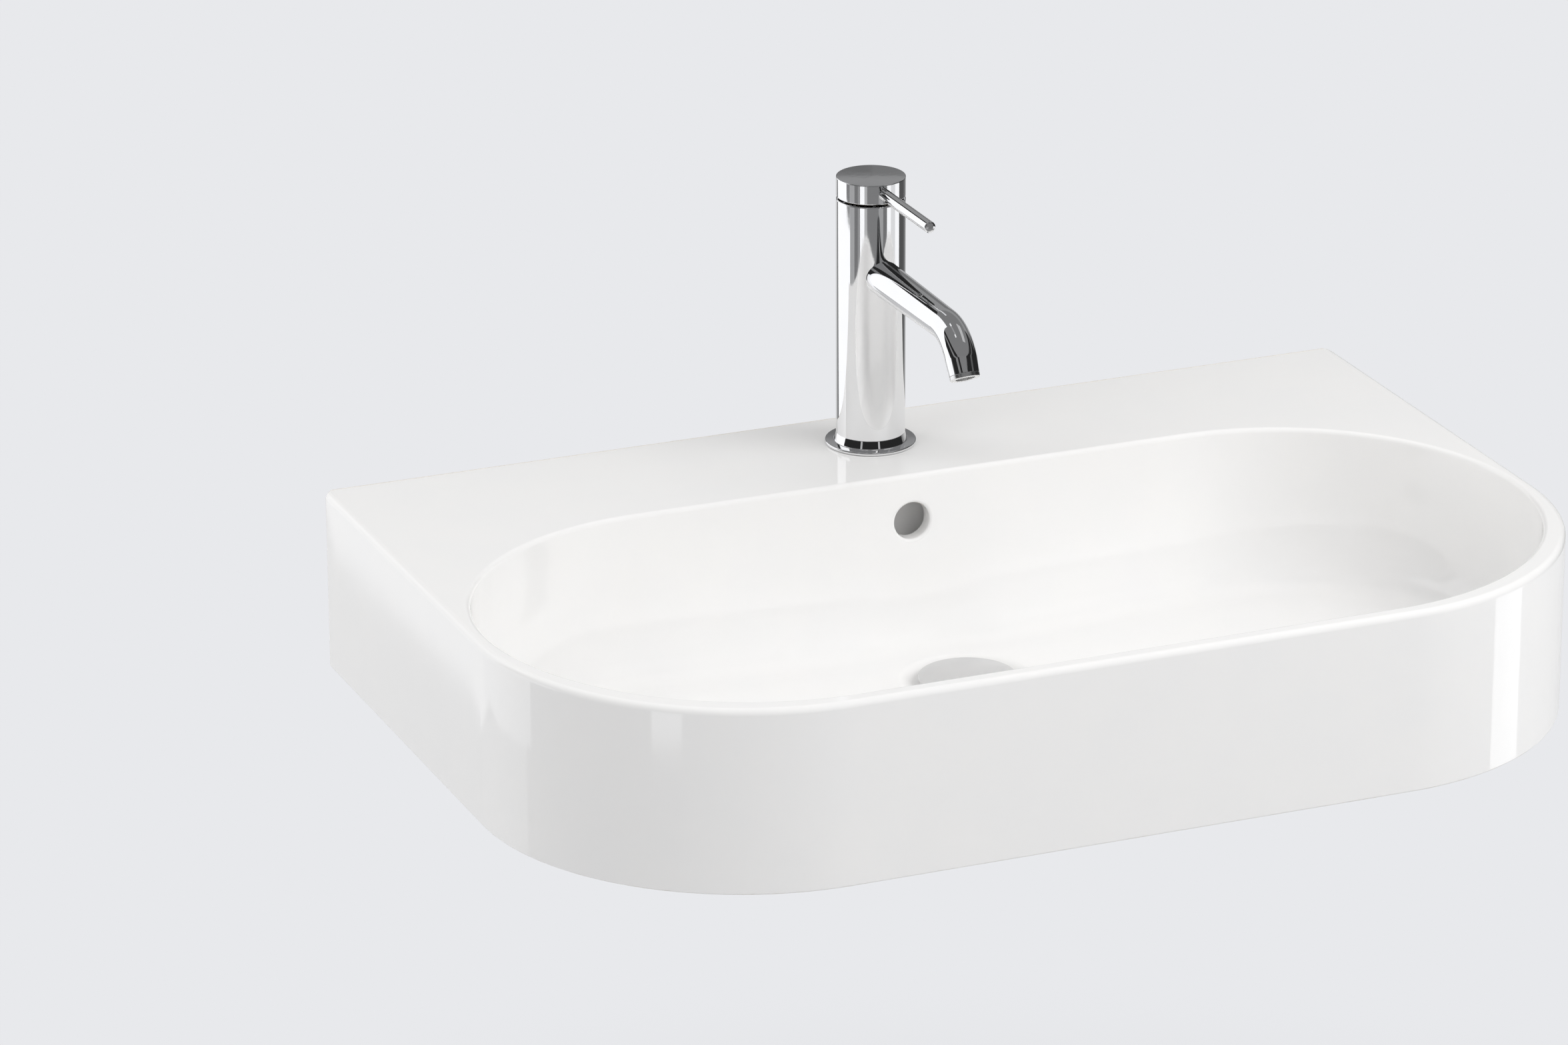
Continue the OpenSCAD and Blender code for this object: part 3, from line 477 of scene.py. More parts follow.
def ring_edges(bm: BMesh, radius: float, height: float) -> list[BMEdge]:
    """Finds the edges of one ring of a spun shape.

    Args:
        bm: the mesh.
        radius: distance of the ring from the axis.
        height: height of the ring.

    Returns:
        The edges that run along the ring.
    """
    on_it = {
        v for v in bm.verts
        if abs(math.hypot(v.co.x, v.co.y) - radius) < NEAR and abs(v.co.z - height) < NEAR
    }
    return [e for e in bm.edges if e.verts[0] in on_it and e.verts[1] in on_it]


def soften(bm: BMesh, edges: list[BMEdge], size: float, segments: int = 4) -> None:
    """Rounds edges.

    Args:
        bm: the mesh.
        edges: the edges to round.
        size: the radius of the rounding.
        segments: the number of its faces.
    """
    bmesh.ops.bevel(
        bm, geom=edges, offset=size, offset_type="OFFSET", segments=segments, profile=0.5,
        affect="EDGES", material=-1, clamp_overlap=True,
    )


def lathe(profile: Sequence[tuple[float, float, float]], steps: int = 128, closed: bool = True) -> BMesh:
    """Spins a profile about the Z axis and rounds its corners.

    Args:
        profile: radius, height and rounding of each corner.
        steps: the number of faces round the axis.
        closed: joins the last corner to the first, and otherwise both lie on the axis.

    Returns:
        The closed mesh.
    """
    bm = bmesh.new()
    verts = [bm.verts.new((r, 0.0, z)) for r, z, _ in profile]
    pairs = list(zip(verts, verts[1:])) + ([(verts[-1], verts[0])] if closed else [])
    edges = [bm.edges.new(pair) for pair in pairs]
    bmesh.ops.spin(
        bm, geom=verts + edges, cent=(0, 0, 0), axis=(0, 0, 1), angle=TURN, steps=steps, use_merge=True
    )
    bmesh.ops.remove_doubles(bm, verts=bm.verts, dist=MERGE)
    bmesh.ops.dissolve_degenerate(bm, dist=MERGE, edges=bm.edges)
    bmesh.ops.recalc_face_normals(bm, faces=bm.faces)
    for r, z, rounding in profile:
        if rounding:
            soften(bm, ring_edges(bm, r, z), rounding)
    return bm


def helix_ridge(
    bm: BMesh, root: float, crest: float, pitch: float, turns: int, foot: float, steps: int = 64
) -> None:
    """Adds the ridge of a screw thread as one unbroken closed form.

    Args:
        bm: the mesh to extend.
        root: radius of the core that it lies on.
        crest: radius of its top.
        pitch: rise in one turn.
        turns: the number of turns.
        foot: height of its start.
        steps: the number of faces in a turn.
    """
    sunk, start, flank = root - 0.15, 0.06, 0.38
    corners = ((sunk, start), (crest, start + flank), (crest, 1 - start - flank), (sunk, 1 - start))
    verts = [bm.verts.new((r, 0.0, foot + pitch * part)) for r, part in corners]
    first = bm.faces.new(verts)
    edges = list(first.edges)
    made = bmesh.ops.spin(
        bm, geom=edges + verts, cent=(0, 0, 0), axis=(0, 0, 1), dvec=(0, 0, pitch / steps),
        angle=TURN * turns, steps=steps * turns,
    )
    bmesh.ops.contextual_create(bm, geom=verts_of(made["geom_last"]))
    bmesh.ops.recalc_face_normals(bm, faces=bm.faces)


def tube_mesh(
    radius: float, low: float, high: float, steps: int = 96, at: Sequence[float] = (0.0, 0.0)
) -> BMesh:
    """A closed round bar along Z.

    Args:
        radius: its radius.
        low: height of its foot.
        high: height of its top.
        steps: the number of faces round it.
        at: its place in plan.

    Returns:
        The mesh.
    """
    bm = bmesh.new()
    bmesh.ops.create_cone(
        bm, cap_ends=True, segments=steps, radius1=radius, radius2=radius, depth=high - low
    )
    bmesh.ops.translate(bm, vec=(*at, (low + high) / 2), verts=bm.verts)
    return bm


def bar_mesh(low: Sequence[float], high: Sequence[float]) -> BMesh:
    """A closed square bar between two corners.

    Args:
        low: its lowest corner.
        high: its highest corner.

    Returns:
        The mesh.
    """
    bm = bmesh.new()
    bmesh.ops.create_cube(bm, size=1.0)
    size = Vector(high) - Vector(low)
    bmesh.ops.scale(bm, vec=size, verts=bm.verts)
    bmesh.ops.translate(bm, vec=(Vector(low) + Vector(high)) / 2, verts=bm.verts)
    return bm


def turned(bm: BMesh, matrix: Matrix) -> BMesh:
    """Puts a mesh at another place or angle and returns it."""
    bmesh.ops.transform(bm, matrix=matrix, verts=bm.verts)
    return bm


def held(bm: BMesh, name: str) -> Object:
    """Puts a mesh in an object of the scene.

    Args:
        bm: the mesh, which is used up.
        name: the name of the object and its mesh.

    Returns:
        The object.
    """
    mesh = bpy.data.meshes.new(name)
    bm.to_mesh(mesh)
    bm.free()
    made = bpy.data.objects.new(name, mesh)
    bpy.context.scene.collection.objects.link(made)
    return made


def combine(base: BMesh, tools: Sequence[BMesh], operation: str) -> BMesh:
    """Joins closed meshes to a mesh, cuts them out of it or keeps what they share.

    Args:
        base: the mesh to change, which is used up.
        tools: the other meshes, which are used up.
        operation: UNION, DIFFERENCE or INTERSECT.

    Returns:
        The new mesh.
    """
    target = held(base, "work")
    others = [held(tool, "tool") for tool in tools]
    for other in others:
        change = target.modifiers.new("cut", "BOOLEAN")
        change.operation = operation
        change.object = other
        change.solver = "EXACT"
    bpy.context.view_layer.update()
    shape = target.evaluated_get(bpy.context.evaluated_depsgraph_get())
    bm = bmesh.new()
    bm.from_mesh(shape.to_mesh())
    shape.to_mesh_clear()
    for temporary in (target, *others):
        mesh = temporary.data
        bpy.data.objects.remove(temporary)
        bpy.data.meshes.remove(mesh)
    bmesh.ops.remove_doubles(bm, verts=bm.verts, dist=MERGE)
    return bm


def publish(
    bm: BMesh, name: str, finish: Finish, body: Body,
    nodes: Sequence[str], at: Vector = Vector(), sharp: float = 35.0,
) -> Object:
    """Makes a finished piece in metres and hands it to its body.

    Args:
        bm: the mesh in millimetres, which is used up.
        name: the name of the piece.
        finish: its finish.
        body: the body that it moves with.
        nodes: the plain nodes that it stands for.
        at: its place, in millimetres.
        sharp: faces that meet at a larger angle, in degrees, keep a crisp edge.

    Returns:
        The piece.
    """
    bmesh.ops.translate(bm, vec=at, verts=bm.verts)
    bmesh.ops.scale(bm, vec=(MM, MM, MM), verts=bm.verts)
    piece = held(bm, name)
    mesh = piece.data
    mesh.shade_smooth()
    mesh.set_sharp_from_angle(angle=math.radians(sharp))
    mesh.materials.append(finish.material())
    even = piece.modifiers.new("even_normals", "WEIGHTED_NORMAL")
    even.keep_sharp = True
    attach(piece, body.value)
    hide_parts(*nodes)
    LOG.info("%s: %d faces, stands for %s", name, len(mesh.polygons), ", ".join(nodes))
    return piece


@dataclass
class CeramicBasin:
    """Glazed body of the basin: deck, bowl, apron, overflow passage and waste boss."""

    width: float = 700.0
    depth: float = 450.0
    height: float = 116.0
    front_radius: float = 168.0
    rear_radius: float = 6.0
    edge: float = 4.0
    foot_edge: float = 1.2
    deck: float = 12.0
    apron: float = 10.0
    back: float = 14.0
    side_rim: float = 9.0
    front_rim: float = 12.0
    deck_depth: float = 116.0
    bowl_radius: float = 168.0
    bowl_depth: float = 106.0
    bowl_wall: float = 9.0
    blend: float = 50.0
    squareness: float = 3.0
    floor_rise: float = 0.04
    lip: float = 3.0
    dish_radius: float = 44.0
    seat_radius: float = 33.0
    seat_drop: float = 3.5
    boss_radius: float = 36.0
    boss_height: float = 45.0
    waste_hole: float = 23.0
    tap_hole: float = 17.5
    overflow_radius: float = 12.0
    overflow_flare: float = 1.8
    overflow_drop: float = 31.0
    overflow_tilt: float = 2.1
    passage_width: float = 34.0
    passage_depth: float = 13.0
    passage_wall: float = 7.0
    fixing_spacing: float = 280.0
    fixing_radius: float = 8.0
    pad_radius: float = 22.0
    pad: float = 6.0
    wall_fall: float = 0.2
    blend_share: float = 0.95
    hollow_round: float = 3.0
    passage_round: float = 3.0
    passage_drop: float = 8.0
    mouth_shift: float = 0.33
    boss_into_bowl: float = 4.5
    foot_round: float = 2.0
    clearance: float = 2.0
    arc_steps: int = 48
    straight_steps: int = 16
    round_steps: int = 8
    foot_steps: int = 4
    waste: Vector = field(default_factory=lambda: Vector((0.0, SEAT.y, 0.0)))

    def half_outline(
        self, half_width: float, front: float, front_radius: float, rear: float, rear_radius: float
    ) -> tuple[BMesh, list[Vector]]:
        """Draws a closed outline by spinning and extruding one vertex, then mirroring.

        Args:
            half_width: distance from the middle to each side.
            front: place of the front edge.
            front_radius: radius of the front corners.
            rear: place of the rear edge.
            rear_radius: radius of the rear corners.

        Returns:
            The mesh with the outline, and its points in order round it.
        """
        bm = bmesh.new()
        tip = bm.verts.new((0.0, front, 0.0))

        def run(start: BMVert, end: tuple[float, float], parts: int):
            """Extrudes a vertex in equal parts to a place."""
            step = (Vector((*end, 0.0)) - start.co) / parts
            for _ in range(parts):
                made = bmesh.ops.extrude_vert_indiv(bm, verts=[start])
                start = made["verts"][0]
                bmesh.ops.translate(bm, vec=step, verts=[start])
            return start

        def bend(start: BMVert, centre: tuple[float, float], parts: int):
            """Spins a vertex by a quarter turn."""
            made = bmesh.ops.spin(
                bm, geom=[start], cent=(*centre, 0.0), axis=(0, 0, 1), angle=TURN / 4, steps=parts
            )
            return verts_of(made["geom_last"])[0]

        corner = half_width - front_radius
        tip = run(tip, (corner, front), self.straight_steps)
        tip = bend(tip, (corner, front + front_radius), self.arc_steps)
        if rear - rear_radius - front - front_radius > 1.0:
            tip = run(tip, (half_width, rear - rear_radius), self.straight_steps)
        small = self.arc_steps if rear_radius > 20 else self.round_steps
        tip = bend(tip, (half_width - rear_radius, rear - rear_radius), small)
        run(tip, (0.0, rear), self.straight_steps)
        bmesh.ops.mirror(bm, geom=bm.verts[:] + bm.edges[:], axis="X", merge_dist=NEAR)
        bmesh.ops.remove_doubles(bm, verts=bm.verts, dist=NEAR)
        bm.verts.ensure_lookup_table()
        first = min(bm.verts, key=lambda v: (round(v.co.y, 3), abs(v.co.x)))
        order, last = [first], None
        while True:
            here = order[-1]
            ahead = [e.other_vert(here) for e in here.link_edges if e.other_vert(here) is not last]
            ahead = max(ahead, key=lambda v: v.co.x) if len(order) == 1 else ahead[0]
            if ahead is first:
                break
            last = here
            order.append(ahead)
        return bm, [v.co.copy() for v in order]

    def bowl_outline(self, out: float) -> tuple[BMesh, list[Vector]]:
        """Outline of the bowl at the deck, moved outwards."""
        half = self.width / 2 - self.side_rim + out
        front = -(self.depth - self.front_rim + out)
        rear = -self.deck_depth + out
        rear_radius = self.depth - self.front_rim - self.deck_depth - self.bowl_radius
        return self.half_outline(half, front, self.bowl_radius + out, rear, rear_radius + out)

    def loft(self, bm: BMesh, start: list[Vector], rings: list[list[Vector]]) -> BMesh:
        """Extrudes a closed outline through a row of rings and closes both ends.

        Args:
            bm: the mesh that holds the outline.
            start: the outline's points in order.
            rings: the places of the points in each ring, the first for the outline itself.

        Returns:
            The closed mesh.
        """
        near = {tuple(round(c, 3) for c in v.co): v for v in bm.verts}
        ring = [near[tuple(round(c, 3) for c in p)] for p in start]
        count = len(ring)
        for vert, place in zip(ring, rings[0]):
            vert.co = place
        first = list(ring)
        for places in rings[1:]:
            edges = [bm.edges.get((ring[i], ring[(i + 1) % count])) for i in range(count)]
            fresh = set(verts_of(bmesh.ops.extrude_edge_only(bm, edges=edges)["geom"]))
            ring = [
                next(e.other_vert(v) for e in v.link_edges if e.other_vert(v) in fresh) for v in ring
            ]
            for vert, place in zip(ring, places):
                vert.co = place
        bmesh.ops.contextual_create(bm, geom=first)
        bmesh.ops.contextual_create(bm, geom=ring)
        bmesh.ops.remove_doubles(bm, verts=bm.verts, dist=MERGE)
        bmesh.ops.recalc_face_normals(bm, faces=bm.faces)
        return bm

    def outer_block(self) -> BMesh:
        """Outer form of the basin, with rounded upper and lower edges."""
        bm, plan = self.half_outline(
            self.width / 2, -self.depth, self.front_radius, 0.0, self.rear_radius
        )
        inner, drawn_in = self.half_outline(
            self.width / 2 - 1, 1 - self.depth, self.front_radius - 1, 0.0, self.rear_radius - 1
        )
        inner.free()
        inwards = [b - a for a, b in zip(plan, drawn_in)]
        for i, (place, way) in enumerate(zip(plan, inwards)):
            if place.y > -self.rear_radius:
                inwards[i] = Vector((way.x, 0.0, 0.0)) if abs(place.x) > 1 else Vector()
                if abs(place.x) < self.width / 2 - self.rear_radius - NEAR:
                    inwards[i] = Vector()

        def ring(inset: float, z: float) -> list[Vector]:
            """The outline drawn in by an inset, at a height."""
            return [p + way * inset + Vector((0, 0, z)) for p, way in zip(plan, inwards)]

        top = [ring(self.edge * a, -self.edge * b) for a, b in quarter(self.round_steps)]
        round_off = quarter(self.foot_steps)
        foot = [ring(self.foot_edge * b, self.foot_edge * a - self.height) for a, b in round_off]
        return self.loft(bm, plan, [*top, ring(0.0, -self.height / 2), *foot])

    def to_dish(self, p: Vector) -> float:
        """Distance from a point of the plan to the edge of the dish."""
        return (Vector((p.x, p.y, 0.0)) - self.waste).length - self.dish_radius

    def wall_ring(self, plan: list[Vector], out: list[Vector], wall: float, angle: float) -> list[Vector]:
        """One ring of the bowl's wall and its rounding to the floor.

        Args:
            plan: the bowl's outline.
            out: its outward directions.
            wall: thickness that is added outside the bowl's surface.
            angle: 0 at the lip to 90 at the floor, in degrees.

        Returns:
            The points of the ring.
        """
        a = math.radians(angle)
        power = 2 / self.squareness
        inset = 1 - max(math.cos(a), 0.0) ** power
        ring = []
        for p, way in zip(plan, out):
            run = min(self.blend, self.blend_share * self.to_dish(p)) + wall
            q = p + way * (wall - run * inset)
            deep = self.bowl_depth + wall - self.floor_rise * self.to_dish(q)
            ring.append(Vector((q.x, q.y, -deep * math.sin(a) ** power)))
        return ring

    def bowl_form(self, wall: float) -> BMesh:
        """The bowl as a closed form.

        Args:
            wall: 0 for its hollow, with the lip and dish, or the thickness of its wall.

        Returns:
            The closed mesh.
        """
        bm, plan = self.bowl_outline(0.0)
        wider, moved = self.bowl_outline(1.0)
        wider.free()
        out = [b - a for a, b in zip(plan, moved)]

        def level(offset: float, z: float) -> list[Vector]:
            """The outline moved outwards, at a height."""
            return [p + way * offset + Vector((0, 0, z)) for p, way in zip(plan, out)]

        if wall:
            rings = [level(wall, 0.0)]
        else:
            rings = [level(self.lip + NEAR, self.clearance), level(self.lip, 0.0)]
            rings += [level(self.lip * a, -self.lip * b) for a, b in quarter(self.round_steps, 1)]
        wall_steps, floor_steps, dish_steps = (14, 4, 0) if wall else (36, 12, 10)
        for k in range(1, wall_steps + 1):
            ring = self.wall_ring(plan, out, wall, 90 * k / wall_steps)
            if not wall:
                for p in ring:
                    p.z = min(p.z, -self.lip - self.wall_fall * k)
            rings.append(ring)
        edge = self.wall_ring(plan, out, wall, 90)
        ways = [(Vector((p.x, p.y, 0.0)) - self.waste).normalized() for p in edge]
        for k in range(1, floor_steps + 1):
            ring = []
            for p, way in zip(edge, ways):
                q = p - way * self.to_dish(p) * k / floor_steps
                ring.append(Vector((q.x, q.y, self.floor_rise * self.to_dish(q) - self.bowl_depth - wall)))
            rings.append(ring)
        for k in range(1, dish_steps + 1):
            r = self.dish_radius + (self.seat_radius - self.dish_radius) * k / dish_steps
            z = -self.bowl_depth - self.seat_drop * (1 - math.cos(math.pi * k / dish_steps)) / 2
            rings.append([self.waste + way * r + Vector((0, 0, z)) for way in ways])
        return self.loft(bm, plan, rings)

    def under_hollow(self) -> BMesh:
        """The space below the deck and round the bowl, open from below."""
        bm, plan = self.half_outline(
            self.width / 2 - self.apron, self.apron - self.depth, self.front_radius - self.apron,
            -self.back, self.hollow_round,
        )
        past_foot = 5.0
        levels = (-self.deck, -self.height - past_foot)
        hollow = self.loft(bm, plan, [[p + Vector((0, 0, z)) for p in plan] for z in levels])
        upper = [e for e in hollow.edges if all(v.co.z > -self.deck - 1 for v in e.verts)]
        soften(hollow, upper, self.hollow_round)
        return combine(hollow, [self.bowl_form(self.bowl_wall)], "DIFFERENCE")

    def side_form(self, width: float, outline: Sequence[tuple[float, float]]) -> BMesh:
        """Extrudes a side view across the middle of the basin.

        Args:
            width: the extruded width.
            outline: distances from the wall and depths below the deck.

        Returns:
            The closed mesh.
        """
        bm = bmesh.new()
        face = bm.faces.new([bm.verts.new((-width / 2, -y, -z)) for y, z in outline])
        made = bmesh.ops.extrude_face_region(bm, geom=[face])["geom"]
        bmesh.ops.translate(bm, vec=(width, 0, 0), verts=verts_of(made))
        bmesh.ops.recalc_face_normals(bm, faces=bm.faces)
        return bm

    def overflow_cutter(self) -> BMesh:
        """Round overflow hole with a rounded mouth, cut from the bowl into the passage."""
        r, flare, over = self.overflow_radius, self.overflow_flare, 6.0
        reach = self.bowl_wall + over
        profile = [(0.0, -reach, 0.0), (r, -reach, 0.0), (r, -flare, 0.0)]
        profile += [(r + flare * b, -flare * a, 0.0) for a, b in quarter(self.round_steps, 1)]
        profile += [(r + flare, over, 0.0), (0.0, over, 0.0)]
        bm = lathe(profile, steps=96, closed=False)
        tilt = Matrix.Rotation(math.radians(90 - self.overflow_tilt), 4, "X")
        place = Matrix.Translation((0.0, -self.deck_depth - self.mouth_shift, -self.overflow_drop))
        return turned(bm, place @ tilt)

    def passages(self) -> tuple[BMesh, BMesh]:
        """The wall round the overflow passage, and the passage itself."""
        front = self.deck_depth - self.bowl_wall
        rear = front - self.passage_depth
        low = self.bowl_depth + self.seat_drop + self.passage_drop + self.passage_depth
        end = -self.waste.y - 2 * self.waste_hole / 3
        outer_low = low + self.passage_wall
        outer_back = rear - self.passage_wall
        wall = self.side_form(self.passage_width + 2 * self.passage_wall, [
            (outer_back, self.deck / 2), (outer_back, low - self.passage_wall),
            (outer_back + 2 * self.passage_wall, outer_low), (end, outer_low),
            (end, self.bowl_depth), (self.deck_depth, self.bowl_depth / 2),
            (self.deck_depth, self.deck / 2),
        ])
        rear_edges = [e for e in wall.edges if all(v.co.y > -self.deck_depth + 1 for v in e.verts)]
        lengthways = [e for e in rear_edges if abs(e.verts[0].co.x - e.verts[1].co.x) < NEAR]
        soften(wall, lengthways, self.passage_round)
        top = self.overflow_drop - self.overflow_radius - self.clearance
        way = self.side_form(self.passage_width, [
            (rear, top), (rear, low), (end, low), (end, low - self.passage_depth),
            (front, low - self.passage_depth), (front, top),
        ])
        return wall, way

    def build(self) -> Object:
        """Makes the basin as one closed form and publishes it."""
        seat = -self.bowl_depth - self.seat_drop
        foot, over = seat - self.boss_height, self.clearance
        shell = combine(self.outer_block(), [self.under_hollow()], "DIFFERENCE")
        boss = tube_mesh(self.boss_radius, foot, seat + self.boss_into_bowl)
        soften(boss, ring_edges(boss, self.boss_radius, foot), self.foot_round)
        turned(boss, Matrix.Translation(self.waste))
        wall, way = self.passages()
        sides = [Matrix.Translation((s * self.fixing_spacing / 2, 0, -DECK)) @ LAY for s in (-1, 1)]
        pad_face = self.back + self.pad
        pads = []
        for side in sides:
            pad = tube_mesh(self.pad_radius, self.back / 2, pad_face, steps=64)
            soften(pad, ring_edges(pad, self.pad_radius, pad_face), self.foot_round)
            pads.append(turned(pad, side))
        solid = combine(shell, [boss, wall, *pads], "UNION")
        bores = [
            tube_mesh(self.waste_hole, foot - over, over - self.bowl_depth, at=self.waste.xy),
            tube_mesh(self.tap_hole, -self.deck - over, over, at=(0, TAP.y)),
            *(
                turned(tube_mesh(self.fixing_radius, -over, pad_face + over, steps=48), side)
                for side in sides
            ),
        ]
        cuts = [self.bowl_form(0.0), way, self.overflow_cutter(), *bores]
        solid = combine(solid, cuts, "DIFFERENCE")
        at = Vector((0, 0, DECK))
        return publish(
            solid, "ceramic_basin", GLAZE, Body.FIXED, ["basin"], at, sharp=38.0
        )


@dataclass
class Tap:
    """Body, foot ring, spout and outlet of the tap."""

    radius: float = 22.0
    height: float = 162.7
    spigot_radius: float = 16.8
    spigot: float = 6.0
    bore_radius: float = 19.05
    bore_foot: float = 152.0
    seat_radius: float = 17.55
    seat: float = 122.0
    inlet_radius: float = 5.5
    inlet_spacing: float = 16.0
    inlet_y: float = -4.0
    inlet_depth: float = 22.0
    stud_y: float = 10.5
    stud_radius: float = 4.05
    stud_foot: float = -72.0
    stud_top: float = 6.0
    stud_core: float = 3.35
    stud_crest: float = 3.98
    stud_pitch: float = 1.25
    ring_radius: float = 29.0
    ring_height: float = 7.6
    flange: float = 2.3
    collar: float = 23.4
    groove_in: float = 23.5
    groove_out: float = 26.5
    groove_top: float = 1.5
    ring_foot: float = 0.3
    ring_gap: float = 0.2
    spout_z: float = 115.4
    spout_start: float = 18.4
    spout_run: float = 115.0
    spout_root: float = 11.3
    spout_mid: float = 10.0
    spout_end: float = 9.5
    spout_bore: float = 8.05
    bend_radius: float = 30.0
    bend: float = 60.0
    end_length: float = 9.6
    rim: float = 3.0
    rim_bore: float = 6.2
    aerator_depth: float = 7.0
    aerator_thread: float = 8.0
    aerator_bore: float = 7.0
    nut_corner: float = 7.5
    nut_length: float = 18.0
    nut_top: float = -17.5

    def body(self) -> None:
        """Upright body, open at the top for the cartridge and bored from below."""
        bm = lathe([
            (0.0, -self.spigot, 0.0), (self.spigot_radius, -self.spigot, 0.4),
            (self.spigot_radius, self.ring_height, 0.0), (self.radius, self.ring_height, 0.15),
            (self.radius, self.height, 0.7), (self.bore_radius, self.height, 0.3),
            (self.bore_radius, self.bore_foot, 0.0), (self.seat_radius, self.bore_foot, 0.2),
            (self.seat_radius, self.seat, 0.0), (0.0, self.seat, 0.0),
        ], steps=192, closed=False)
        below = -self.spigot - 2
        holes = [
            tube_mesh(self.inlet_radius, below, self.inlet_depth, steps=48, at=(x, self.inlet_y))
            for x in (-self.inlet_spacing / 2, self.inlet_spacing / 2)
        ]
        stud_end = self.stud_top + 0.2
        holes.append(tube_mesh(self.stud_radius, below, stud_end, steps=48, at=(0, self.stud_y)))
        bm = combine(bm, holes, "DIFFERENCE")
        publish(bm, "tap_column", CHROME, Body.FIXED, ["tap_body"], TAP)

    def ring(self) -> None:
        """Foot ring: thin flange, fine fillet and a slightly flared collar."""
        foot, inner = self.ring_foot, self.spigot_radius + self.ring_gap
        bm = lathe([
            (inner, foot, 0.2), (self.groove_in, foot, 0.0), (self.groove_in, self.groove_top, 0.0),
            (self.groove_out, self.groove_top, 0.0), (self.groove_out, foot, 0.2),
            (self.ring_radius, foot, 0.6), (self.ring_radius, self.flange, 0.75),
            (self.collar, self.flange, 0.5), (self.radius - 0.3, self.ring_height, 0.3),
            (inner, self.ring_height, 0.0),
        ], steps=192)
        publish(bm, "foot_ring", CHROME, Body.FIXED, ["base_ring"], TAP)

    def outlet_frame(self) -> Matrix:
        """Place of the end of the bend, with Z along the outlet, from the foot of the tap."""
        a = math.radians(self.bend)
        end = Vector((
            0.0, -self.spout_run - self.bend_radius * math.sin(a),
            self.spout_z - self.bend_radius * (1 - math.cos(a)),
        ))
        return Matrix.Translation(end) @ Matrix.Rotation(math.radians(90 + self.bend), 4, "X")

    def spout(self) -> None:
        """Spout: a slightly tapered tube, bent down near its end."""
        bm = bmesh.new()
        bmesh.ops.create_circle(bm, cap_ends=False, segments=96, radius=self.spout_root)
        start = self.spout_start
        turned(bm, Matrix.Translation((0, -start, self.spout_z)) @ LAY)
        rim = bm.edges[:]

        def onward(edges: list, move: Vector, centre: Vector, scale: float) -> list:
            """Extrudes a rim, moves it and scales it about its new centre."""
            made = bmesh.ops.extrude_edge_only(bm, edges=edges)["geom"]
            verts = verts_of(made)
            bmesh.ops.translate(bm, vec=move, verts=verts)
            bmesh.ops.scale(bm, vec=(scale,) * 3, verts=verts, space=Matrix.Translation(-centre))
            return edges_of(made)

        parts = 10
        reach = self.spout_run - start
        radius = self.spout_root
        for k in range(1, parts + 1):
            wide = self.spout_root + (self.spout_mid - self.spout_root) * k / parts
            centre = Vector((0, -start - reach * k / parts, self.spout_z))
            rim = onward(rim, Vector((0, -reach / parts, 0)), centre, wide / radius)
            radius = wide
        made = bmesh.ops.spin(
            bm, geom=rim + list({v for e in rim for v in e.verts}),
            cent=(0, -self.spout_run, self.spout_z - self.bend_radius), axis=(1, 0, 0),
            angle=math.radians(self.bend), steps=28,
        )
        rim = edges_of(made["geom_last"])
        frame_out = self.outlet_frame()
        along = frame_out.to_3x3() @ Vector((0, 0, 1))
        end = frame_out.translation + along * self.end_length
        rim = onward(rim, along * self.end_length, end, self.spout_end / self.spout_mid)
        rim = onward(rim, Vector(), end, self.spout_bore / self.spout_end)
        rim = onward(rim, -along * (self.aerator_depth + 1.0), end, 1.0)
        bmesh.ops.contextual_create(bm, geom=rim)
        bmesh.ops.contextual_create(
            bm, geom=[e for e in bm.edges if e.is_boundary and abs(e.verts[0].co.y + start) < NEAR]
        )
        bmesh.ops.recalc_face_normals(bm, faces=bm.faces)
        publish(bm, "spout_tube", CHROME, Body.FIXED, ["spout"], TAP)

    def outlet(self) -> None:
        """Light ring at the end of the spout."""
        low, high = self.end_length - self.aerator_depth, self.end_length
        outer, seam, seat = self.spout_end - 0.05, high + 0.15, high - 1.0
        bm = lathe([
            (self.aerator_bore, low, 0.0), (self.aerator_thread, low, 0.2),
            (self.aerator_thread, seam, 0.0), (outer, seam, 0.15),
            (outer, high + self.rim, 0.5), (self.rim_bore, high + self.rim, 0.4),
            (self.rim_bore, seat, 0.0), (self.aerator_bore, seat, 0.0),
        ], steps=96)
        turned(bm, self.outlet_frame())
        publish(bm, "outlet_ring", SATIN, Body.FIXED, ["aerator_housing"], TAP)

    def fixing(self) -> None:
        """Threaded stud and long nut below the deck."""
        core, foot, pitch = self.stud_core, self.stud_foot, self.stud_pitch
        bm = tube_mesh(core, foot, self.stud_top, steps=48)
        soften(bm, ring_edges(bm, core, foot), 0.5)
        turns = int((self.stud_top - foot - 2.0) / pitch)
        helix_ridge(bm, core, self.stud_crest, pitch, turns, foot + 0.8, steps=32)
        at = TAP + Vector((0, self.stud_y, 0))
        publish(bm, "threaded_stud", BRASS, Body.FIXED, ["fixing_stud"], at, sharp=30.0)
        nut = hex_nut(self.nut_corner, self.stud_radius, self.nut_top - self.nut_length, self.nut_top)
        publish(nut, "long_nut", BRASS, Body.FIXED, ["fixing_nut"], at, sharp=30.0)

    def build(self) -> None:
        """Makes every piece of the tap that doesn't move."""
        self.body()
        self.ring()
        self.spout()
        self.outlet()
        self.fixing()


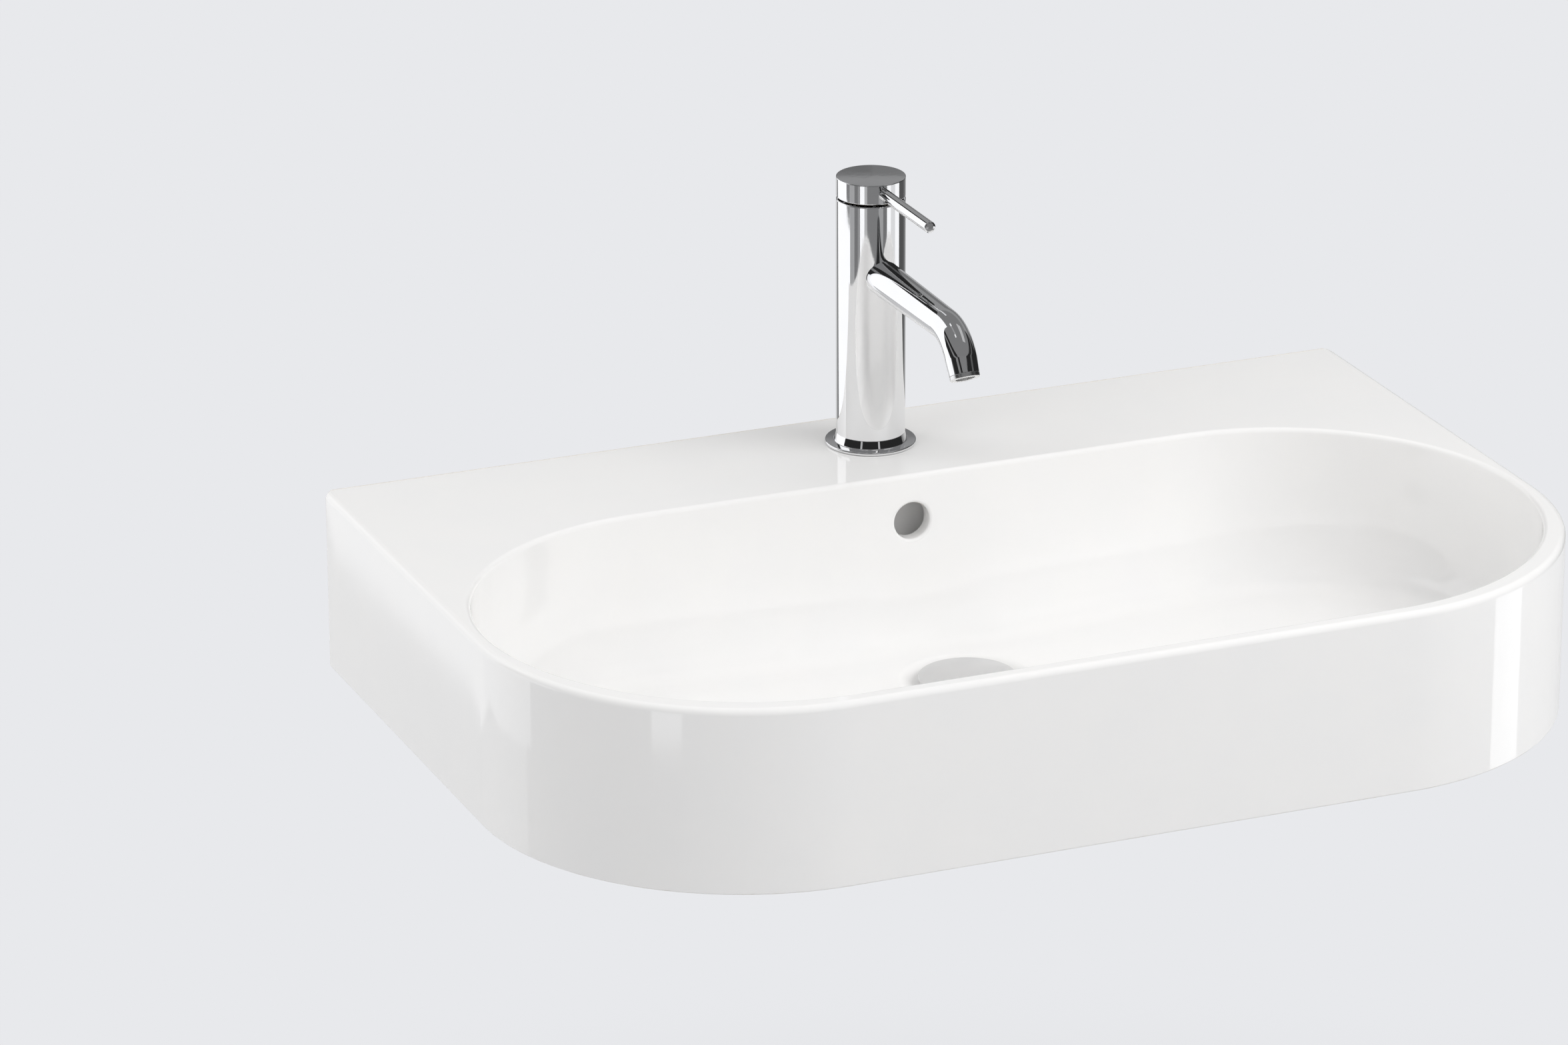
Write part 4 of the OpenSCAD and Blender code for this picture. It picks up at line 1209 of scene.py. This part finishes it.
def hex_nut(corner: float, bore: float, low: float, high: float) -> BMesh:
    """A hexagonal nut with its corners turned down at both ends.

    Args:
        corner: radius over its corners.
        bore: radius of its hole.
        low: height of its foot.
        high: height of its top.

    Returns:
        The closed mesh.
    """
    bm = tube_mesh(corner, low, high, steps=6)
    flat = corner * math.cos(math.pi / 6)
    slope, outer = (corner - flat) * 0.6, corner + 0.1
    turned_down = lathe([
        (0.0, low, 0.0), (flat, low, 0.0), (outer, low + slope, 0.0),
        (outer, high - slope, 0.0), (flat, high, 0.0), (0.0, high, 0.0),
    ], steps=96, closed=False)
    bm = combine(bm, [turned_down], "INTERSECT")
    chamfer = 0.6
    wide = bore + chamfer
    hole = lathe([
        (0.0, low - 1, 0.0), (wide, low - 1, 0.0), (wide, low, 0.0), (bore, low + chamfer, 0.0),
        (bore, high - chamfer, 0.0), (wide, high, 0.0), (wide, high + 1, 0.0), (0.0, high + 1, 0.0),
    ], steps=64, closed=False)
    return combine(bm, [hole], "DIFFERENCE")


@dataclass
class Handle:
    """Cap and rod that turn and tip together."""

    radius: float = 22.0
    foot: float = 164.3
    height: float = 12.7
    wall: float = 1.2
    top: float = 2.2
    edge: float = 0.6
    hub_radius: float = 7.5
    hub_foot: float = 160.0
    lever: float = 3.55
    lever_top: float = 167.35
    rod_radius: float = 3.75
    rod_root: float = 7.3
    rod_reach: float = 93.0
    rod_tip: float = 1.0
    screw_z: float = 162.7
    screw_radius: float = 2.05

    def cap(self) -> None:
        """Flat cap with its skirt and the hub that sits on the control lever."""
        high = self.foot + self.height
        inner = self.radius - self.wall
        bm = lathe([
            (0.0, self.hub_foot, 0.0), (self.hub_radius, self.hub_foot, 0.3),
            (self.hub_radius, high - self.top, 0.4), (inner, high - self.top, 0.6),
            (inner, self.foot, 0.15), (self.radius, self.foot, 0.5),
            (self.radius, high, self.edge), (0.0, high, 0.0),
        ], steps=192, closed=False)
        socket = bar_mesh(
            (-self.lever, -self.lever, self.hub_foot - 1), (self.lever, self.lever, self.lever_top)
        )
        screw = tube_mesh(self.screw_radius, 0, self.hub_radius + 1, steps=32)
        turned(screw, Matrix.Translation((0, 0, self.screw_z)) @ LAY)
        bm = combine(bm, [socket, screw], "DIFFERENCE")
        publish(bm, "handle_cover", CHROME, Body.HANDLE, ["handle_cap"], TAP)

    def rod(self) -> None:
        """Thin rod of the handle, with a rounded tip."""
        bm = lathe([
            (0.0, self.rod_root, 0.0), (self.rod_radius, self.rod_root, 0.2),
            (self.rod_radius, self.rod_reach, self.rod_tip), (0.0, self.rod_reach, 0.0),
        ], steps=96, closed=False)
        turned(bm, Matrix.Translation((0, 0, self.foot + self.height / 2)) @ LAY)
        publish(bm, "handle_rod", CHROME, Body.HANDLE, ["lever_rod"], TAP)

    def build(self) -> None:
        """Makes the cap and the rod."""
        self.cap()
        self.rod()


@dataclass
class Waste:
    """Flanged and threaded waste with its nut, and the push-open plug."""

    thread_radius: float = 20.95
    core_radius: float = 19.85
    bore: float = 18.05
    pitch: float = 2.309
    length: float = 80.0
    thread_top: float = -31.0
    flange_radius: float = 30.0
    flange_low: float = 1.2
    flange_top: float = 3.2
    slot_width: float = 10.0
    slot_height: float = 20.0
    slot_drop: float = 8.0
    bar_drop: float = 31.0
    bar: float = 6.0
    hub_radius: float = 7.0
    screw_radius: float = 4.05
    nut_corner: float = 30.0
    nut_bore: float = 21.0
    nut_top: float = -50.0
    nut_height: float = 10.0
    plug_radius: float = 31.0
    plug_foot: float = 3.95
    plug_edge: float = 2.2
    plug_crown: float = 1.9
    plug_screw: float = 3.0
    plug_screw_length: float = 2.0
    plug_round: float = 0.8
    mouth: float = 1.5
    slot_round: float = 2.5
    bar_round: float = 0.6

    def body(self) -> None:
        """Waste tube with its flange, slots, cross bar and screw thread."""
        core, crest = self.core_radius, self.thread_radius
        bm = lathe([
            (self.bore, -self.length, 0.3), (core, -self.length, 0.4), (core, self.thread_top, 0.0),
            (crest, self.thread_top, 0.3), (crest, self.flange_low, 0.0),
            (self.flange_radius, self.flange_low, 0.3), (self.flange_radius, self.flange_top, 0.8),
            (self.bore + self.mouth, self.flange_top, 0.4), (self.bore, self.flange_top - self.mouth, 0.4),
        ], steps=144)
        slots = []
        for k in range(4):
            slot = bar_mesh(
                (0, -self.slot_width / 2, -self.slot_drop - self.slot_height),
                (crest + 2, self.slot_width / 2, -self.slot_drop),
            )
            through = [e for e in slot.edges if abs(e.verts[0].co.x - e.verts[1].co.x) > 1]
            soften(slot, through, self.slot_round)
            slots.append(turned(slot, Matrix.Rotation(TURN * (k + 0.5) / 4, 4, "Z")))
        bm = combine(bm, slots, "DIFFERENCE")
        low, high = -self.bar_drop - self.bar, -self.bar_drop
        reach = (self.bore + core) / 2
        cross = bar_mesh((-reach, -self.bar / 2, low), (reach, self.bar / 2, high))
        soften(cross, cross.edges[:], self.bar_round, segments=2)
        hub = tube_mesh(self.hub_radius, low - 0.01, high + 0.01, steps=64)
        bm = combine(bm, [cross, hub], "UNION")
        bm = combine(bm, [tube_mesh(self.screw_radius, low - 1, high + 1, steps=48)], "DIFFERENCE")
        turns = int((self.thread_top + self.length - 1.2) / self.pitch)
        helix_ridge(bm, core, crest, self.pitch, turns, -self.length + 0.8)
        publish(bm, "waste_tube", CHROME_WASTE, Body.FIXED, ["waste_body"], SEAT, sharp=30.0)

    def nut(self) -> None:
        """Backnut that holds the waste from below."""
        bm = hex_nut(self.nut_corner, self.nut_bore, self.nut_top - self.nut_height, self.nut_top)
        publish(bm, "back_nut", CHROME_WASTE, Body.FIXED, ["waste_backnut"], SEAT, sharp=30.0)

    def plug(self) -> None:
        """Slightly domed cap of the plug."""
        foot, edge_top = self.plug_foot, self.plug_foot + self.plug_edge
        screw_foot = foot - self.plug_screw_length
        rim = self.plug_radius - self.plug_round
        dome = (rim ** 2 + self.plug_crown ** 2) / (2 * self.plug_crown)
        profile = [
            (0.0, screw_foot, 0.0), (self.plug_screw, screw_foot, 0.0), (self.plug_screw, foot, 0.0),
            (self.plug_radius, foot, self.plug_round), (self.plug_radius, edge_top, self.plug_round),
        ]
        dome_steps = 12
        for k in range(1, dome_steps + 1):
            r = rim * (1 - k / dome_steps)
            profile.append((r, edge_top + self.plug_crown - dome + math.sqrt(dome ** 2 - r ** 2), 0.0))
        bm = lathe(profile, steps=144, closed=False)
        publish(bm, "plug_cover", PLUG_CHROME_WITH_PAINTED_SHADE, Body.PLUG, ["plug_cap"], SEAT)

    def build(self) -> None:
        """Makes the waste, its nut and the plug."""
        self.body()
        self.nut()
        self.plug()


@dataclass(frozen=True)
class Band:
    """Upright panels side by side round the object, which only polished surfaces show.

    Each strip gives the bearing from the camera's side where a panel starts, in degrees, and its
    level up to the next one, or None for a gap.
    """

    low: float
    high: float
    strips: tuple[tuple[float, float | None], ...]


@dataclass(frozen=True)
class Lamp:
    """A round soft lamp that no polished surface shows."""

    name: str
    bearing: float
    height: float
    energy: float
    size: float = 1.4
    distance: float = 2.4


@dataclass(frozen=True)
class Sheet:
    """A flat panel that only polished surfaces show, given by its corners."""

    name: str
    level: float
    corners: tuple[tuple[float, float, float], ...]


def flat(name: str, level: float, low: tuple[float, float], high: tuple[float, float], z: float) -> Sheet:
    """A level panel between two corners."""
    return Sheet(name, level, ((*low, z), (high[0], low[1], z), (*high, z), (low[0], high[1], z)))


BANDS = (
    Band(-2.6, -1.5, (
        (-180, 0.70), (-146, 0.58), (-96, 0.12), (-37, None), (-25, 0.24), (54, 0.30), (90, 2.20),
        (107, 0.75), (165, 0.60), (180, None),
    )),
    Band(-2.6, -1.63, ((-37, 0.12), (-25, None))),
    Band(-1.63, -1.5, ((-37, 2.20), (-25, None))),
    Band(-1.5, -1.05, (
        (-180, 0.62), (-146, 0.15), (-96, 1.05), (-90, 0.22), (-77, 0.39), (-58, 0.19), (-46, 0.30),
        (-38, 1.08), (-23, 0.48), (-14, 0.21), (25, 0.36), (41, 0.18), (55, 1.05), (70, 0.76),
        (88, 1.05), (108, 0.09), (135, 0.13), (150, 0.36), (164, 0.64), (180, None),
    )),
    Band(-1.05, 0.4, (
        (-180, 0.62), (-146, 0.15), (-112, 1.05), (-76, 0.13), (-30, 0.19), (54, 0.02), (150, 0.40),
        (180, None),
    )),
    Band(0.4, 1.6, (
        (-180, 0.15), (-96, 0.02), (-34, 0.45), (-28, 0.02), (24, 0.45), (30, 0.02), (130, 0.18),
        (180, None),
    )),
    Band(1.6, 3.2, ((-180, 0.28), (-150, None), (130, 0.28), (180, None))),
    Band(1.6, 2.1, ((-150, 0.28), (-96, 0.21), (58, 0.10), (130, None))),
    Band(2.1, 2.95, ((-150, 0.02), (-30, None), (30, 0.02), (130, None))),
    Band(2.1, 2.5, ((-30, 0.02), (30, None))),
    Band(2.5, 2.95, ((-30, 0.21), (30, None))),
    Band(2.95, 3.2, ((-150, 0.21), (58, 0.10), (130, None))),
)
SHEETS = (
    Sheet("left", 1.10, (
        (-1.0, 0.03, -0.30), (-1.0, 0.31, -0.36), (-1.0, 0.83, -0.50), (-1.0, 1.45, -0.755),
        (-1.0, 4.09, -0.755), (-1.0, 4.09, 1.75), (-1.0, 0.36, 1.75), (-1.0, 0.36, -0.12),
        (-1.0, 0.03, -0.12),
    )),
    flat("above", 0.5, (1.15, -1.5), (2.2, 0.6), 3.1),
    flat("streak", 0.32, (-0.80, -0.95), (-0.42, 0.66), 3.15),
    flat("spot_rear", 1.0, (-0.66, 0.31), (-0.34, 0.66), 3.1),
    flat("spot_front", 1.0, (-0.91, -0.96), (-0.59, -0.61), 3.1),
    flat("ceiling", 0.20, (-4.6, -4.8), (4.6, 4.4), 3.2),
)
LAMPS = (
    Lamp("right_low", 80, 30, 13.9), Lamp("right_high", 80, 55, 7.4), Lamp("right_front", 45, 40, 12.8),
    Lamp("front", 0, 35, 4.4), Lamp("left_front", -50, 35, 9.4), Lamp("left_high", -100, 45, 3.0),
    Lamp("left_low", -115, 15, 17.5), Lamp("back_high", 180, 50, 5.6),
)


@dataclass
class Studio:
    """Camera, soft light, pale floor and the panels that the chrome shows."""

    camera_place: tuple[float, float, float] = (-1.64545, -3.89612, 1.57343)
    azimuth: float = -22.403
    elevation: float = 20.598
    roll: float = -0.178
    lens: float = 160.985
    backdrop: tuple[float, float, float] = (0.807, 0.815, 0.839)
    ambient: float = 0.485
    floor_z: float = -0.79
    floor_radius: float = 9.0
    floor_colour: tuple[float, float, float] = (0.80, 0.805, 0.82)
    floor_fade: tuple[float, float] = (0.7, 1.2)
    sensor: float = 36.0
    sight: float = 50.0
    centre: tuple[float, float] = (0.0, -0.2)
    band_radius: float = 4.4
    band_step: float = 3.0
    glow_tint: tuple[float, float, float] = (1.0, 1.005, 1.02)
    bands: tuple[Band, ...] = BANDS
    sheets: tuple[Sheet, ...] = SHEETS
    lamps: tuple[Lamp, ...] = LAMPS

    def axes(self) -> tuple[Vector, Vector, Vector]:
        """Right, up and backward directions of the camera."""
        a, e, r = (math.radians(v) for v in (self.azimuth, self.elevation, self.roll))
        back = Vector((math.sin(a) * math.cos(e), -math.cos(a) * math.cos(e), math.sin(e)))
        right = Vector((math.cos(a), math.sin(a), 0.0))
        up = back.cross(right)
        return (
            right * math.cos(r) + up * math.sin(r), up * math.cos(r) - right * math.sin(r), back
        )

    def camera(self) -> None:
        """Camera at the photograph's place."""
        data = bpy.data.cameras.new("camera")
        data.lens = self.lens
        data.sensor_width = self.sensor
        data.sensor_fit = "HORIZONTAL"
        data.clip_end = self.sight
        eye = bpy.data.objects.new("camera", data)
        turn = Matrix(self.axes()).transposed().to_4x4()
        eye.matrix_world = Matrix.Translation(self.camera_place) @ turn
        bpy.context.scene.collection.objects.link(eye)
        bpy.context.scene.camera = eye

    def world(self) -> None:
        """Even light, with the plain backdrop where it is seen or mirrored."""
        nodes = Surface(bpy.data.worlds.new("studio"))
        even = nodes.node("ShaderNodeBackground", {}, {"Color": (1, 1, 1, 1), "Strength": self.ambient})
        shown = nodes.node("ShaderNodeBackground", {}, {"Color": (*self.backdrop, 1.0)})
        mixed = nodes.mix(nodes.seen(), even, shown)
        bpy.context.scene.world = nodes.finish(mixed, "ShaderNodeOutputWorld")

    def set_on_stage(self, bm: BMesh, name: str, material: Material) -> Object:
        """Puts a mesh in metres on the stage.

        Args:
            bm: the mesh, which is used up.
            name: the name of the object.
            material: its material.

        Returns:
            The object.
        """
        made = held(bm, name)
        made.data.materials.append(material)
        return made

    def floor(self) -> None:
        """Pale floor that fades to the backdrop away from the object."""
        nodes = Surface(bpy.data.materials.new("pale_floor"))
        where = nodes.place((*self.centre, 0.0), (1, 1, 0))
        far = nodes.node("ShaderNodeVectorMath", {"operation": "LENGTH"}, {0: where}).outputs["Value"]
        fade = Field(nodes, far).step(*self.floor_fade)
        pale = nodes.node("ShaderNodeBsdfDiffuse", {}, {"Color": (*self.floor_colour, 1.0)})
        plain = nodes.node("ShaderNodeEmission", {}, {"Color": (*self.backdrop, 1.0)})
        material = nodes.finish(nodes.mix(fade * nodes.seen(), pale, plain))
        bm = bmesh.new()
        bmesh.ops.create_circle(bm, cap_ends=True, segments=96, radius=self.floor_radius)
        bmesh.ops.translate(bm, vec=(*self.centre, self.floor_z), verts=bm.verts)
        self.set_on_stage(bm, "floor", material).visible_glossy = False

    def panel(self, bm: BMesh, name: str, level: float) -> None:
        """Puts a glowing mesh on the stage that only polished surfaces show.

        Args:
            bm: the mesh, which is used up.
            name: the name of the object.
            level: how bright it is.
        """
        nodes = Surface(bpy.data.materials.new(f"glow_{round(level * 100)}"))
        colour = (*(level * part for part in self.glow_tint), 1.0)
        shine = nodes.node("ShaderNodeEmission", {}, {"Color": colour})
        made = self.set_on_stage(bm, name, nodes.finish(shine))
        for rays in ("camera", "diffuse", "shadow", "transmission", "volume_scatter"):
            setattr(made, f"visible_{rays}", False)

    def panels(self) -> None:
        """Grey and white panels all round, the large one at the left, and the ceiling."""
        eye = math.radians(self.azimuth - 90)
        for k, band in enumerate(self.bands):
            for (start, level), (end, _) in zip(band.strips, band.strips[1:]):
                if level is None:
                    continue
                bm = bmesh.new()
                angle = eye + math.radians(start)
                spot = Vector((math.cos(angle), math.sin(angle), 0.0)) * self.band_radius
                verts = [bm.verts.new(spot + Vector((0, 0, z))) for z in (band.low, band.high)]
                edge = bm.edges.new(verts)
                bmesh.ops.spin(
                    bm, geom=verts + [edge], cent=(0, 0, 0), axis=(0, 0, 1),
                    angle=math.radians(end - start), steps=math.ceil((end - start) / self.band_step),
                )
                bmesh.ops.translate(bm, vec=(*self.centre, 0.0), verts=bm.verts)
                self.panel(bm, f"card_{k}_{start}", level)
        for sheet in self.sheets:
            bm = bmesh.new()
            bm.faces.new([bm.verts.new(c) for c in sheet.corners])
            self.panel(bm, f"card_{sheet.name}", sheet.level)

    def lights(self) -> None:
        """Soft lamps."""
        middle = Vector((*self.centre, 0.0))
        for lamp in self.lamps:
            data = bpy.data.lights.new(lamp.name, "AREA")
            data.shape = "DISK"
            data.size = lamp.size
            data.energy = lamp.energy
            angle, height = math.radians(self.azimuth - 90 + lamp.bearing), math.radians(lamp.height)
            way = Vector((
                math.cos(angle) * math.cos(height), math.sin(angle) * math.cos(height), math.sin(height),
            ))
            made = bpy.data.objects.new(lamp.name, data)
            made.location = middle + way * lamp.distance
            made.rotation_euler = way.to_track_quat("Z", "Y").to_euler()
            made.visible_glossy = False
            bpy.context.scene.collection.objects.link(made)

    def build(self) -> None:
        """Sets up the whole studio."""
        self.camera()
        self.world()
        self.floor()
        self.panels()
        self.lights()


def dress_carried_over() -> None:
    """Gives each plain node that stays its finish."""
    for finish, names in CARRIED_OVER.items():
        for name in names:
            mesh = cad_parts[name].data
            mesh.materials.clear()
            mesh.materials.append(finish.material())
            LOG.info("%s keeps its form, in %s", name, finish.name)


def main() -> None:
    """Builds the sub-assemblies and the studio."""
    logging.basicConfig(level=logging.INFO, format="%(name)s: %(message)s")
    bpy.context.scene.view_settings.view_transform = "Standard"
    for part in (Studio(), CeramicBasin(), Tap(), Handle(), Waste()):
        LOG.info("%s", type(part).__name__)
        part.build()
    dress_carried_over()


if __name__ == "__main__":
    main()
